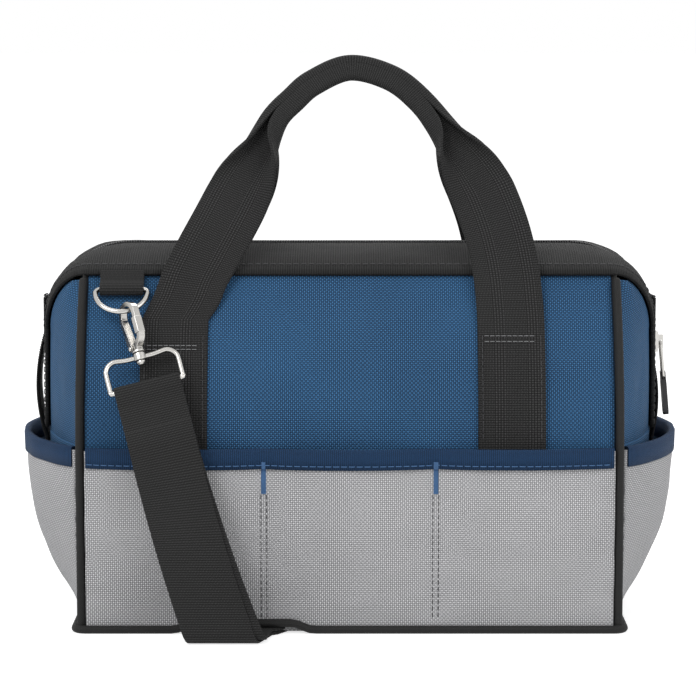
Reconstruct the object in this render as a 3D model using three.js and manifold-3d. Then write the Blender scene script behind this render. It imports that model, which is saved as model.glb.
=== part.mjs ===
// Zippered tool bag: a wide-mouthed fabric bag on a padded base, with outer pockets on all four
// sides, two webbing handles and a shoulder strap clipped to a D-ring on each long side.
// Millimetres. X runs along the bag, -Y is its front, +Z is up, and the origin is under the
// middle of the base, on the surface that the bag stands on.
import * as THREE from 'three';
import { mergeVertices } from 'three/addons/utils/BufferGeometryUtils.js';
import Module from 'manifold-3d';

const wasm = await Module();
wasm.setup();

// Body of the bag
const bagLength = 303;
const bagDepth = 186;
const seamHeight = 204;
const zipHeight = 215;
const pocketHeight = 106.5;
const mouthDepth = 110;
const frontBelly = 3;
const endBulge = 27;
const endBulgeRise = 26;
const wingBulge = 2.8;
const wallThickness = 2;
const frontEdgeGap = 1.8;
const endEdgeGap = 2.6;
const clearance = 0.3;
const formLap = 0.2;

// Base
const baseThickness = 6;
const baseCornerRadius = 10;
const boardThickness = 2.5;
const boardMargin = 7;

// Piping
const pipingRadius = 2.3;
const pipingProud = 1.1;
const pipingBelowSeam = 7;
const baseLoopRadius = 6;

// Outer pockets
const pocketWall = 1.6;
const frontPocketGap = 7;
const endPocketGap = 12.5;
const dividerSpacing = 97;
const bindingHeight = 11.5;
const bindingThickness = 1;

// Hem bands and the wire frames inside them
const bandThickness = 1.8;
const bandLap = 2.5;
const bandLegDepth = 24;
const bandFoot = 108;
const bandCornerRadius = 50;
const seamCornerReach = 28;
const frameRadius = 2;
const frameFoot = 116;

// Zip
const zipGap = 4.7;
const zipStandOff = 2;
const coilHalfWidth = 1.9;
const coilHeight = 2.2;
const tapeThickness = 1;
const tailWidth = 26;
const tailTop = 183;
const tailFoot = 97;
const leftTailBow = 5;
const leftBowHeight = 130;
const leftStraightFoot = 162;
const rightTailBow = 2.5;
const rightBowHeight = 122;
const sliderHeight = 156;
const sliderLength = 12;
const sliderWall = 1.2;
const bridgeHeight = 3.2;
const pullLean = 5;
const pullWidth = 8;
const pullWire = 0.8;
const pullLinkLength = 22;
const pullTagLength = 22;

// Handles
const webbingWidth = 38;
const webbingThickness = 1.8;
const handleLeft = -99.5;
const handleRight = 91.5;
const handleSeamHeight = 175;
const handleHeight = 317;
const gripWidth = 16;
const gripThickness = 5.6;
const handleGap = 7.5;
const handleSteps = 36;

// D-rings and their tabs
const ringOffset = 130;
const ringBelowSeam = 13;
const tabWidth = 25;
const tabThickness = 1.6;
const tabLength = 9;
const ringWire = 1.5;
const ringWidth = 29.5;
const ringCorner = 2;
const ringDrop = 17.5;
const ringLean = 50;

// Swivel snap hooks. Heights are measured from the wire of the D-ring that the hook hangs on
const hangEase = 3.8;
const hangTilt = 15;
const hangShift = 4.5;
const hookTurn = -54;
const hookHalfWidth = 6.4;
const hookBar = 2.6;
const hookThickness = 4;
const noseLength = 0.8;
const shankStep = 3.4;
const shankBar = 3.6;
const shankThickness = 5;
const shankLength = 13.5;
const barCut = 0.4;
const hookReach = 21.9;
const lugThickness = 2.6;
const leverPivotX = -4;
const leverPivotRise = 2.5;
const leverFoot = 1.8;
const leverTip = 2.4;
const leverSheet = 0.7;
const rivetRadius = 0.8;
const rivetHead = 1.5;
const rivetHeadHeight = 0.6;
const neckHalf = 2.2;
const flangeRadius = 4;
const flangeThickness = 1.6;
const swivelPin = 1.6;
const swivelHead = 2.8;
const swivelHeadRim = 1;
const swivelHeadTaper = 1.2;
const hubRadius = 3.8;
const hubHeight = 4.6;
const eyeWire = 1.5;
const eyeDepth = 17.4;
const eyeLobe = 6.5;

// Shoulder strap and its adjuster
const strapThickness = 1.4;
const strapLayerGap = 0.5;
const strapFootX = -70;
const strapFootOut = 36.5;
const strapFootRadius = 6;
const strapFloorGap = 0.15;
const strapLoopLength = 33;
const loopOpening = 10;
const loopShoulder = 2;
const strapSlope = 0.62;
const strapSpread = 4;
const strapCurve = 0.2;
const channelMargin = 2.2;
const adjusterPlace = 0.45;
const adjusterLength = 27;
const adjusterBar = 1.4;

// Values that follow from the sizes above
const degrees = Math.PI / 180;
const halfLength = bagLength / 2;
const halfDepth = bagDepth / 2;
const wallLean = halfDepth - mouthDepth / 2;
const wallTop = seamHeight - wallThickness;
const bandRise = zipHeight - bandCornerRadius;
const pocketRim = pocketHeight - clearance;
const bindingRoom = bindingThickness + clearance;
const channelHeight = strapFloorGap + 2 * strapThickness + strapLayerGap + clearance;
const foot = 2 * clearance;
const footTop = 2 * pipingRadius + channelHeight;
const frontEdge = halfLength - frontEdgeGap;
const tabRadius = ringWire + clearance + tabThickness;
const ringHeight = seamHeight - ringBelowSeam;
const archHeight = ringWire + 2 * clearance + hookBar / 2 - hookHalfWidth;
const flangeTop = archHeight - hookReach;
const hubTop = flangeTop - flangeThickness - clearance;
const hubMiddle = hubTop - hubHeight / 2;
const hubFoot = hubTop - hubHeight;
const leverPivotZ = flangeTop + leverPivotRise;
const eyeHalf = webbingWidth / 2 + clearance + eyeWire;
const eyeFoot = hubMiddle - eyeDepth;
const loopFoot = eyeFoot - strapLoopLength;
const layerPitch = strapThickness + strapLayerGap;
const layerOffset = layerPitch / 2;
const tailX = halfLength + endBulge + zipStandOff;
const sliderX = tailX + clearance;
const sliderTop = coilHeight / 2 + sliderWall;
const bagMiddle = new THREE.Vector3(0, 0, seamHeight / 2);

// Facets
const pocketColumns = 18;
const wallColumns = 8;
const endColumns = 12;

const fabricBlue = material('#235080', 0.85, 0);
const fabricGrey = material('#a5a5aa', 0.85, 0);
const tapeNavy = material('#1e3c69', 0.8, 0);
const webbingBlack = material('#2b2b2d', 0.8, 0);
const pipingBlack = material('#262628', 0.6, 0);
const boardBlack = material('#1b1b1b', 0.6, 0);
const zipBlack = material('#1c1c1e', 0.5, 0);
const nickel = material('#c9c9cc', 0.25, 1);
const steel = material('#8c8c90', 0.4, 1);

function material(color, roughness, metalness) {
  return new THREE.MeshStandardMaterial({ color, roughness, metalness });
}

function vec(x, y, z) {
  return new THREE.Vector3(x, y, z);
}

function mix(a, b, share) {
  return a + (b - a) * share;
}

// A named mesh, added to its group
function add(group, name, geometry, surface) {
  const mesh = new THREE.Mesh(geometry, surface);
  mesh.name = name;
  group.add(mesh);
  return mesh;
}

// A geometry from points and triangles, wound so that its faces point out
function closedGeometry(points, triangles) {
  let volume = 0;
  for (const [a, b, c] of triangles) {
    volume += points[a].dot(vec(0, 0, 0).crossVectors(points[b], points[c]));
  }
  const index = triangles.flatMap(([a, b, c]) => (volume > 0 ? [a, b, c] : [a, c, b]));
  const geometry = new THREE.BufferGeometry();
  const numbers = points.flatMap((point) => point.toArray());
  geometry.setAttribute('position', new THREE.Float32BufferAttribute(numbers, 3));
  geometry.setIndex(index);
  geometry.computeVertexNormals();
  return geometry;
}

// The same solid seen in a mirror: x and y are 1 or -1
function mirrored(geometry, x, y) {
  const position = geometry.getAttribute('position');
  const points = [];
  for (let i = 0; i < position.count; i += 1) {
    points.push(vec(x * position.getX(i), y * position.getY(i), position.getZ(i)));
  }
  const index = geometry.getIndex().array;
  const triangles = [];
  for (let i = 0; i < index.length; i += 3) {
    triangles.push([index[i], index[i + 1], index[i + 2]]);
  }
  return closedGeometry(points, triangles);
}

// A grid of points: one row for each height, each point from its share along the row
function makeGrid(columns, heights, place) {
  return heights.map((z) => {
    const row = [];
    for (let i = 0; i <= columns; i += 1) {
      row.push(place(i / columns, z));
    }
    return row;
  });
}

function evenHeights(z0, z1, rows) {
  return Array.from({ length: rows + 1 }, (unused, j) => mix(z0, z1, j / rows));
}

// Heights of a lower panel, which stays flat as far up as the foot piping reaches
function lowHeights(top, rows) {
  return [foot, ...evenHeights(footTop, top, rows)];
}

// The outward normal of a grid at one of its points
function gridNormal(grid, i, j) {
  const row = grid[j];
  const along = row[Math.min(i + 1, row.length - 1)].clone().sub(row[Math.max(i - 1, 0)]);
  const above = grid[Math.min(j + 1, grid.length - 1)][i];
  const across = above.clone().sub(grid[Math.max(j - 1, 0)][i]);
  const normal = along.cross(across).normalize();
  if (normal.dot(row[i].clone().sub(bagMiddle)) < 0) {
    normal.negate();
  }
  return normal;
}

// A grid moved outward by a distance that may change along it and with height
function offsetGrid(grid, distance) {
  return grid.map((row, j) => row.map((point, i) => {
    const away = distance(i / (row.length - 1), point.z);
    return point.clone().addScaledVector(gridNormal(grid, i, j), away);
  }));
}

// A closed shell: the grid is its outer face and the wall lies inside it
function shell(grid, thickness) {
  const rows = grid.length;
  const columns = grid[0].length;
  const inner = offsetGrid(grid, () => -thickness);
  const points = [...grid.flat(), ...inner.flat()];
  const layer = rows * columns;
  const triangles = [];
  const quad = (a, b, c, d) => triangles.push([a, b, c], [a, c, d]);
  const at = (i, j) => j * columns + i;
  for (let j = 0; j < rows - 1; j += 1) {
    for (let i = 0; i < columns - 1; i += 1) {
      quad(at(i, j), at(i + 1, j), at(i + 1, j + 1), at(i, j + 1));
      quad(layer + at(i, j), layer + at(i, j + 1), layer + at(i + 1, j + 1), layer + at(i + 1, j));
    }
  }
  const last = columns - 1;
  for (let j = 0; j < rows - 1; j += 1) {
    quad(at(0, j), at(0, j + 1), layer + at(0, j + 1), layer + at(0, j));
    quad(at(last, j + 1), at(last, j), layer + at(last, j), layer + at(last, j + 1));
  }
  const top = rows - 1;
  for (let i = 0; i < columns - 1; i += 1) {
    quad(at(i + 1, 0), at(i, 0), layer + at(i, 0), layer + at(i + 1, 0));
    quad(at(i, top), at(i + 1, top), layer + at(i + 1, top), layer + at(i, top));
  }
  return closedGeometry(points, triangles);
}

// Frames along a path: at each point the section's two axes, the second one near the hint
function pathFrames(points, hints, closed = false) {
  const count = points.length;
  return points.map((point, i) => {
    const before = closed ? points[(i + count - 1) % count] : points[Math.max(i - 1, 0)];
    const after = closed ? points[(i + 1) % count] : points[Math.min(i + 1, count - 1)];
    const tangent = after.clone().sub(before).normalize();
    const hint = hints[Math.min(i, hints.length - 1)];
    const face = hint.clone().addScaledVector(tangent, -hint.dot(tangent)).normalize();
    return { point, across: vec(0, 0, 0).crossVectors(tangent, face), face };
  });
}

// A section swept through frames. sectionAt gives its points for a share of the way
function sweep(frames, sectionAt, closed = false) {
  const points = [];
  const count = frames.length;
  frames.forEach((frame, i) => {
    for (const [s, t] of sectionAt(i / (count - 1))) {
      points.push(frame.point.clone().addScaledVector(frame.across, s).addScaledVector(frame.face, t));
    }
  });
  const section = sectionAt(0);
  const sides = section.length;
  const triangles = [];
  const spans = closed ? count : count - 1;
  for (let i = 0; i < spans; i += 1) {
    const a = i * sides;
    const b = ((i + 1) % count) * sides;
    for (let k = 0; k < sides; k += 1) {
      const next = (k + 1) % sides;
      triangles.push([a + k, a + next, b + next], [a + k, b + next, b + k]);
    }
  }
  if (!closed) {
    const outline = section.map(([s, t]) => new THREE.Vector2(s, t));
    const end = (count - 1) * sides;
    const clockwise = THREE.ShapeUtils.isClockWise(outline);
    for (const [p, q, r] of THREE.ShapeUtils.triangulateShape(outline, [])) {
      triangles.push(clockwise ? [p, q, r] : [r, q, p]);
      triangles.push(clockwise ? [end + r, end + q, end + p] : [end + p, end + q, end + r]);
    }
  }
  return closedGeometry(points, triangles);
}

function circleSection(radius, sides) {
  const points = [];
  for (let k = 0; k < sides; k += 1) {
    const angle = (2 * Math.PI * (k + 0.5)) / sides;
    points.push([radius * Math.cos(angle), radius * Math.sin(angle)]);
  }
  return points;
}

function bandSection(width, thickness) {
  const w = width / 2;
  const t = thickness / 2;
  return [[-w, -t], [w, -t], [w, t], [-w, t]];
}

// A smooth line through chosen points
function smooth(points, steps, closed = false) {
  const curve = new THREE.CatmullRomCurve3(points, closed, 'centripetal');
  const line = curve.getPoints(steps);
  return closed ? line.slice(0, -1) : line;
}

// A cord, wire or piping of one radius along a line
function tube(line, radius, sides, hint, closed = false) {
  return sweep(pathFrames(line, [hint], closed), () => circleSection(radius, sides), closed);
}

// Solids joined and cut
function solid(geometry) {
  const bare = geometry.clone();
  bare.deleteAttribute('normal');
  bare.deleteAttribute('uv');
  const merged = mergeVertices(bare);
  const vertProperties = new Float32Array(merged.getAttribute('position').array);
  const triVerts = new Uint32Array(merged.getIndex().array);
  return new wasm.Manifold(new wasm.Mesh({ numProp: 3, vertProperties, triVerts }));
}

function geometryOf(body) {
  const mesh = body.getMesh();
  const geometry = new THREE.BufferGeometry();
  geometry.setAttribute('position', new THREE.Float32BufferAttribute(mesh.vertProperties, 3));
  geometry.setIndex(Array.from(mesh.triVerts));
  geometry.computeVertexNormals();
  return geometry;
}

function block(x0, x1, y0, y1, z0, z1) {
  const box = new THREE.BoxGeometry(x1 - x0, y1 - y0, z1 - z0);
  box.translate((x0 + x1) / 2, (y0 + y1) / 2, (z0 + z1) / 2);
  return box;
}

// A round bar along Y at a point of the XZ plane
function crossBar(x, z, radius, length, sides) {
  const bar = new THREE.CylinderGeometry(radius, radius, length, sides);
  bar.translate(x, 0, z);
  return bar;
}

// A turned piece about the Z axis, with a radius at its top and at its foot
function turned(top, foot, topRadius, footRadius) {
  const piece = new THREE.CylinderGeometry(topRadius, footRadius, top - foot, 10);
  piece.rotateX(Math.PI / 2);
  piece.translate(0, 0, (top + foot) / 2);
  return piece;
}

// An outline in the XZ plane made into a plate that lies on both sides of it
function plate(outline, thickness) {
  const piece = new THREE.ExtrudeGeometry(outline, {
    depth: thickness, bevelEnabled: false, curveSegments: 6,
  });
  piece.translate(0, 0, -thickness / 2);
  piece.rotateX(Math.PI / 2);
  return piece;
}

function joined(pieces) {
  return pieces.map(solid).reduce((whole, piece) => whole.add(piece));
}

// Shape of the bag

// Distance of the front wall from the middle plane, without its belly
function wallDepth(z) {
  const share = Math.max(0, (z - pocketHeight) / (seamHeight - pocketHeight));
  return halfDepth - wallLean * share * share;
}

// How far a height is on its way from the foot piping's top to another height, from 0 to 1
function riseShare(z, top) {
  return Math.min(1, Math.max(0, (z - footTop) / (top - footTop)));
}

function frontPoint(x, z) {
  const across = 1 - (x / halfLength) ** 2;
  const up = Math.sin(Math.PI * riseShare(z, seamHeight));
  return vec(x, -(wallDepth(z) + frontBelly * across * up), z);
}

// Distance of the end wall from the middle, at a depth and a height
function endReach(y, z) {
  const swell = endBulge * (1 - Math.exp(-Math.max(0, z - footTop) / endBulgeRise));
  return halfLength + swell * (1 - (y / wallDepth(z)) ** 2);
}

function frontPatch(x0, x1, heights, columns) {
  return makeGrid(columns, heights, (u, z) => frontPoint(mix(x0, x1, u), z));
}

function endPatch(heights, columns) {
  return makeGrid(columns, heights, (u, z) => {
    const y = mix(-1, 1, u) * (wallDepth(z) - endEdgeGap);
    return vec(endReach(y, z), y, z);
  });
}

// Base

function roundedPlate(halfX, halfY, radius, thickness, steps) {
  const outline = new THREE.Shape();
  outline.absarc(halfX - radius, halfY - radius, radius, 0, Math.PI / 2);
  outline.absarc(radius - halfX, halfY - radius, radius, Math.PI / 2, Math.PI);
  outline.absarc(radius - halfX, radius - halfY, radius, Math.PI, 1.5 * Math.PI);
  outline.absarc(halfX - radius, radius - halfY, radius, 1.5 * Math.PI, 2 * Math.PI);
  return new THREE.ExtrudeGeometry(outline, {
    depth: thickness, bevelEnabled: false, curveSegments: steps,
  });
}

// A piece with the strap's diagonal channel cut from its underside
function clearOfStrap(geometry) {
  const halfWidth = webbingWidth / 2 + channelMargin;
  const slot = block(-halfWidth, halfWidth, -bagDepth, bagDepth, -1, channelHeight);
  slot.rotateZ(-Math.atan(strapSlope));
  return geometryOf(solid(geometry).subtract(solid(slot)));
}

// The padded base
function basePanel() {
  const inset = wallThickness + clearance;
  const plate = roundedPlate(halfLength - inset, halfDepth - inset, baseCornerRadius, baseThickness, 5);
  return clearOfStrap(plate);
}

function baseBoard() {
  const inset = wallThickness + boardMargin;
  const board = roundedPlate(halfLength - inset, halfDepth - inset, baseCornerRadius, boardThickness, 4);
  board.translate(0, 0, baseThickness + clearance);
  return board;
}

// The piping round the foot, which lifts over the strap at both crossings
function basePiping() {
  const outX = halfLength + clearance + pocketWall + pipingRadius + clearance;
  const outY = halfDepth + clearance + pocketWall + pipingRadius + clearance;
  const cornerX = outX - baseLoopRadius;
  const cornerY = outY - baseLoopRadius;
  const crossing = outY * strapSlope;
  const half = (webbingWidth / 2 + channelMargin) / Math.cos(Math.atan(strapSlope));
  const ramp = [1.6, 1.48, 1.35, 1.22, 1.1];
  const stops = [...ramp, ...ramp.map((stop) => -stop).reverse()];
  const points = [];
  for (const turn of [1, -1]) {
    points.push(vec(turn * cornerX, turn * outY, pipingRadius));
    for (const stop of stops) {
      const lift = channelHeight * (1 - THREE.MathUtils.smoothstep(Math.abs(stop), ramp.at(-1), ramp[0]));
      points.push(vec(turn * (crossing + half * stop), turn * outY, pipingRadius + lift));
    }
    points.push(vec(-turn * cornerX, turn * outY, pipingRadius));
    for (let i = 1; i <= 8; i += 1) {
      const angle = (1 + (i < 5 ? i : i - 1) / 4) * (Math.PI / 2);
      const y = i < 5 ? cornerY : -cornerY;
      const x = -cornerX + baseLoopRadius * Math.cos(angle);
      points.push(vec(turn * x, turn * (y + baseLoopRadius * Math.sin(angle)), pipingRadius));
    }
  }
  return tube(points, pipingRadius, 6, vec(0, 0, 1), true);
}

// Walls and pockets

// How far the pocket stands off the wall. The seams between the three pockets hold it close
function frontPocketGapAt(x, z) {
  const divider = dividerSpacing / 2;
  const edges = [-frontEdge, -divider, divider, frontEdge];
  const k = x < -divider ? 0 : x < divider ? 1 : 2;
  const along = Math.max(0, Math.min(1, (x - edges[k]) / (edges[k + 1] - edges[k])));
  const swell = Math.max(bindingRoom / frontPocketGap, Math.sin(Math.PI * along) ** 0.6);
  return frontPocketGap * swell * Math.sin((Math.PI / 2) * riseShare(z, 0.75 * pocketHeight));
}

// The outer face of the front pocket panel
function frontPocketGrid(heights, columns) {
  const wall = frontPatch(-frontEdge, frontEdge, heights, columns);
  return offsetGrid(wall, (u, z) => (
    clearance + pocketWall + frontPocketGapAt(mix(-frontEdge, frontEdge, u), z)
  ));
}

function endPocketGrid(heights, columns) {
  return offsetGrid(endPatch(heights, columns), (u, z) => {
    const open = Math.max(0, 1 - (2 * u - 1) ** 2) ** 0.7;
    const across = Math.max(bindingRoom / endPocketGap, open);
    const up = Math.sin((Math.PI / 2) * riseShare(z, 0.7 * pocketHeight));
    return clearance + pocketWall + endPocketGap * across * up;
  });
}

// Tape folded over the rim of a pocket: a U section along the rim, with its legs turned in by
// as much as the pocket leans at each share of the way
function rimBinding(rimLine, leanAt) {
  const inner = pocketWall + clearance;
  const t = bindingThickness;
  const drop = -bindingHeight;
  const section = (share) => {
    const lean = leanAt(share);
    return [
      [clearance - lean, drop], [clearance + t - lean, drop], [clearance + t, 0], [-inner - t, 0],
      [-inner - t - lean, drop], [-inner - lean, drop], [-inner, -t], [clearance, -t],
    ];
  };
  return sweep(pathFrames(rimLine, [vec(0, 0, 1)]), section);
}

// The binding of a pocket whose outer face is given by a function of heights and columns
function pocketBinding(faceAt, columns, leanAt) {
  const rim = faceAt([pocketRim - 1, pocketRim], columns)[1];
  return rimBinding(rim.map((point) => vec(point.x, point.y, pocketRim)), leanAt);
}

function cornerPiping(z0, z1, rows) {
  const line = [];
  for (let i = 0; i <= rows; i += 1) {
    const z = mix(z0, z1, i / rows);
    line.push(vec(halfLength + pipingProud, -(wallDepth(z) + pipingProud), z));
  }
  return tube(line, pipingRadius, 6, vec(1, 0, 0));
}

// The loop round the foot with the lower ends of the corner pipings, sewn in one
function footPiping() {
  const corner = cornerPiping(pipingRadius, pocketRim, 3);
  let whole = solid(basePiping());
  for (const [x, y] of [[1, 1], [1, -1], [-1, 1], [-1, -1]]) {
    whole = whole.add(solid(mirrored(corner, x, y)));
  }
  return geometryOf(whole);
}

// Hem band

// A station is a place along the band, from its foot up the end, round the corner and to the
// middle of the top. It holds the seam edge, the zip edge and the direction that faces out
function stationAt(angle, z, x = 1) {
  const lap = 2.5 * clearance + bandThickness;
  const turn = angle / 90;
  const cos = Math.cos(angle * degrees);
  const sin = Math.sin(angle * degrees);
  const out = vec(cos, 0, sin);
  const legHeight = Math.min(z, bandRise);
  const seamReach = endReach(bandLegDepth, legHeight) + lap;
  const topEdge = frontPoint(0, seamHeight - bandLap / 2);
  const seamTop = topEdge.z + lap / 2;
  const seamX = seamReach - seamCornerReach * (1 - cos);
  const seamY = mix(-bandLegDepth, topEdge.y - lap, turn);
  const seamZ = mix(legHeight, seamTop, sin);
  const downWall = frontPoint(0, seamHeight - 2 * bandLap).sub(frontPoint(0, seamHeight - bandLap));
  const downEnd = endReach(bandLegDepth + bandLap, legHeight) - endReach(bandLegDepth, legHeight);
  const lapWay = vec(downEnd * cos, mix(-bandLap, downWall.y, sin), downWall.z * sin);
  const zipReach = endReach(0, legHeight);
  const zipX = zipReach - bandCornerRadius * (1 - cos);
  const zipZ = mix(legHeight, zipHeight, sin);
  const seam = vec(x * seamX, seamY, seamZ);
  return { seam, zip: vec(x * zipX, -zipGap, zipZ), edge: seam.clone().add(lapWay), out };
}

function bandStations(fromHeight, fromAngle = 0) {
  const right = [];
  if (fromAngle === 0) {
    for (const share of [0, 0.35, 0.7]) {
      right.push(stationAt(0, mix(fromHeight, bandRise, share)));
    }
  }
  const steps = 8;
  for (let i = 0; i <= steps; i += 1) {
    right.push(stationAt(mix(fromAngle, 90, i / steps), bandRise));
  }
  right.push(stationAt(90, bandRise, 0.5));
  const middle = stationAt(90, bandRise, 0);
  const flip = (p) => vec(-p.x, p.y, p.z);
  const left = right.map(({ seam, zip, edge, out }) => (
    { seam: flip(seam), zip: flip(zip), edge: flip(edge), out: flip(out) }
  ));
  return [...right, middle, ...left.reverse()];
}

// A point across the band: 0 is the zip edge, 1 the seam edge
function bandPoint(station, share) {
  const { seam, zip, out } = station;
  const shoulder = mix(0.5, 8, Math.abs(out.z));
  const control = zip.clone().lerp(seam, 0.65).addScaledVector(out, shoulder);
  const a = zip.clone().lerp(control, share);
  return a.lerp(control.clone().lerp(seam, share), share);
}

function hemBand() {
  const stations = bandStations(bandFoot);
  const shares = [0, 0.2, 0.45, 0.72, 1];
  const rows = shares.map((share) => stations.map((station) => bandPoint(station, share)));
  rows.push(stations.map((station) => station.edge));
  return shell(rows, bandThickness);
}

// The bent wire that holds the mouth open, under the zip edge of the band
function frameRod() {
  const depth = bandThickness + clearance + frameRadius;
  const line = bandStations(frameFoot).map((station) => (
    bandPoint(station, 0.13).addScaledVector(station.out, -depth)
  ));
  return tube(line, frameRadius, 6, vec(0, 1, 0));
}

// Tape and coil of one side of the zip, over the top of the bag
function zipHalf() {
  const line = [];
  const frames = bandStations(bandRise, 20).map(({ zip, out }) => {
    line.push(vec(zip.x, 0, zip.z));
    return out;
  });
  const edge = clearance / 2;
  const coil = edge + coilHalfWidth;
  const tapeEdge = zipGap - clearance;
  const low = -coilHeight / 2;
  const section = [
    [-tapeEdge, -tapeThickness], [-tapeEdge, 0], [-coil, 0], [-coil, coilHeight + low],
    [-edge, coilHeight + low], [-edge, low], [-coil, low], [-coil, -tapeThickness],
  ];
  return sweep(pathFrames(line, frames), () => section);
}

// The upper half of an end wall that opens with its side of the mouth
function endWing() {
  const rows = 8;
  const top = 0.78;
  const grid = [];
  const straight = bandRise - pocketHeight;
  const arc = bandCornerRadius;
  const whole = straight + arc;
  for (let j = 0; j <= rows; j += 1) {
    const travel = mix(clearance, whole * 0.985, j / rows);
    const angle = Math.max(0, ((travel - straight) / arc) * 90 * top);
    const station = stationAt(angle, Math.min(pocketHeight + travel, bandRise));
    const below = -(2 * clearance + bandThickness);
    const under = station.seam.clone().addScaledVector(station.out, below - 1);
    under.y += 2 * bandLap;
    const edge = station.edge.clone().addScaledVector(station.out, below - 0.6);
    const z = mix(pocketHeight + clearance, wallTop - 4, j / rows);
    const y = -(wallDepth(z) - endEdgeGap);
    const corner = vec(endReach(y, z), y, z);
    const row = [];
    for (let i = 0; i <= 4; i += 1) {
      const share = i / 4;
      const bulge = wingBulge * Math.sin(Math.PI * share);
      row.push(corner.clone().lerp(edge, share).add(vec(bulge, 0, 0)));
    }
    row.push(under);
    grid.push(row);
  }
  return shell(grid, wallThickness);
}

// Handles

// A strip of webbing sewn flat on the front wall
function handleStrip(x) {
  const half = webbingWidth / 2;
  const heights = evenHeights(pocketHeight + 2 * clearance, handleSeamHeight - clearance, 8);
  const wall = frontPatch(x - half, x + half, heights, 2);
  return shell(offsetGrid(wall, () => clearance + webbingThickness), webbingThickness);
}

// The centre line of a handle, as shares of the way to its ends and of its height
function handleLine(steps) {
  const rise = handleHeight - handleSeamHeight;
  const left = [[1, 0], [0.935, 0.08], [0.885, 0.17], [0.81, 0.27], [0.693, 0.42], [0.574, 0.585],
    [0.449, 0.78], [0.33, 0.872], [0.213, 0.94]];
  const right = [[0.258, 0.96], [0.442, 0.872], [0.599, 0.745], [0.797, 0.545], [0.867, 0.454],
    [0.936, 0.32], [0.98, 0.17], [1, 0]];
  const seamY = frontPoint(handleLeft, handleSeamHeight).y - clearance - webbingThickness / 2;
  const topY = -handleGap / 2 - gripThickness / 2;
  const place = ([side, up], end) => (
    vec(side * end, mix(seamY, topY, up), handleSeamHeight + 3 * clearance + rise * up)
  );
  const points = [
    ...left.map((pair) => place(pair, handleLeft)),
    place([0, 1], 0),
    ...right.map((pair) => place(pair, handleRight)),
  ];
  return smooth(points, steps);
}

function handle() {
  const line = handleLine(handleSteps);
  const rise = handleHeight - handleSeamHeight;
  const lean = vec(0, -rise, line[handleSteps / 2].y - line[0].y).normalize();
  const frames = pathFrames(line, [lean]);
  // The webbing leaves each seam level and turns square to its line on its way up
  const level = 5;
  for (let i = 0; i < level; i += 1) {
    frames[i].across.lerp(vec(1, 0, 0), 1 - i / level).normalize();
    frames.at(-1 - i).across.lerp(vec(-1, 0, 0), 1 - i / level).normalize();
  }
  const section = (share) => {
    const fromEnd = Math.min(share, 1 - share);
    const fold = THREE.MathUtils.smoothstep(fromEnd, 0.17, 0.35);
    return bandSection(
      mix(webbingWidth, gripWidth, fold),
      mix(webbingThickness, gripThickness, fold),
    );
  };
  return sweep(frames, section);
}

// D-ring, hook and eye. The hardware hangs in a frame of its own: X across, Z up along the
// hook, -Y away from the bag

function wallSlope(z) {
  const below = frontPoint(ringOffset, z - 1);
  const above = frontPoint(ringOffset, z + 1);
  return Math.atan2(above.y - below.y, above.z - below.z);
}

// Where the straight bar of the D-ring lies
function ringPivot() {
  const slope = wallSlope(ringHeight);
  const wallPoint = frontPoint(-ringOffset, ringHeight);
  const out = tabRadius + clearance;
  return wallPoint.add(vec(0, -out * Math.cos(slope), out * Math.sin(slope)));
}

function ringTab() {
  const loop = new THREE.Shape();
  const neck = 2 * tabThickness - tabRadius;
  loop.moveTo(-tabRadius, tabLength);
  loop.lineTo(-tabRadius, 0);
  loop.absarc(0, 0, tabRadius, Math.PI, 2.3 * Math.PI, false);
  loop.lineTo(neck, tabRadius);
  loop.lineTo(neck, tabLength);
  const hole = new THREE.Path();
  hole.absarc(0, 0, ringWire + clearance, 0, 2 * Math.PI, true);
  loop.holes.push(hole);
  const tab = new THREE.ExtrudeGeometry(loop, {
    depth: tabWidth, bevelEnabled: false, curveSegments: 8,
  });
  tab.translate(0, 0, -tabWidth / 2);
  tab.applyMatrix4(new THREE.Matrix4().makeBasis(vec(0, -1, 0), vec(0, 0, 1), vec(-1, 0, 0)));
  return tab;
}

// Height of the D-ring's wire below its straight bar, at a distance from its middle
function ringLow(x) {
  return -ringCorner - (ringDrop - ringCorner) * Math.sqrt(1 - (x / (ringWidth / 2)) ** 2);
}

function dRing() {
  const half = ringWidth / 2;
  const line = [vec(ringCorner - half, 0, 0), vec(0, 0, 0), vec(half - ringCorner, 0, 0)];
  const steps = 12;
  for (let i = 0; i <= steps; i += 1) {
    const x = half * Math.cos((Math.PI * i) / steps);
    line.push(vec(x, 0, ringLow(x)));
  }
  return tube(line, ringWire, 8, vec(0, 1, 0), true);
}

// The flat bar of the hook: the nose, the arch over the ring and the shank down to the neck
function hookOutline() {
  const outer = hookHalfWidth + hookBar / 2;
  const inner = hookHalfWidth - hookBar / 2;
  const bend = archHeight - shankLength;
  const nose = archHeight - noseLength;
  const outline = new THREE.Shape();
  outline.moveTo(-neckHalf, flangeTop - 0.1);
  outline.lineTo(neckHalf, flangeTop - 0.1);
  outline.lineTo(neckHalf, flangeTop + 1.5);
  outline.quadraticCurveTo(outer, bend - 3, outer, bend);
  outline.lineTo(outer, archHeight);
  outline.absarc(0, archHeight, outer, 0, Math.PI, false);
  outline.lineTo(-outer, nose);
  outline.lineTo(-inner, nose);
  outline.lineTo(-inner, archHeight);
  outline.absarc(0, archHeight, inner, Math.PI, 0, true);
  outline.lineTo(inner, bend);
  outline.quadraticCurveTo(inner, bend - 3, -neckHalf, leverPivotZ + leverFoot);
  return outline;
}

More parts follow.
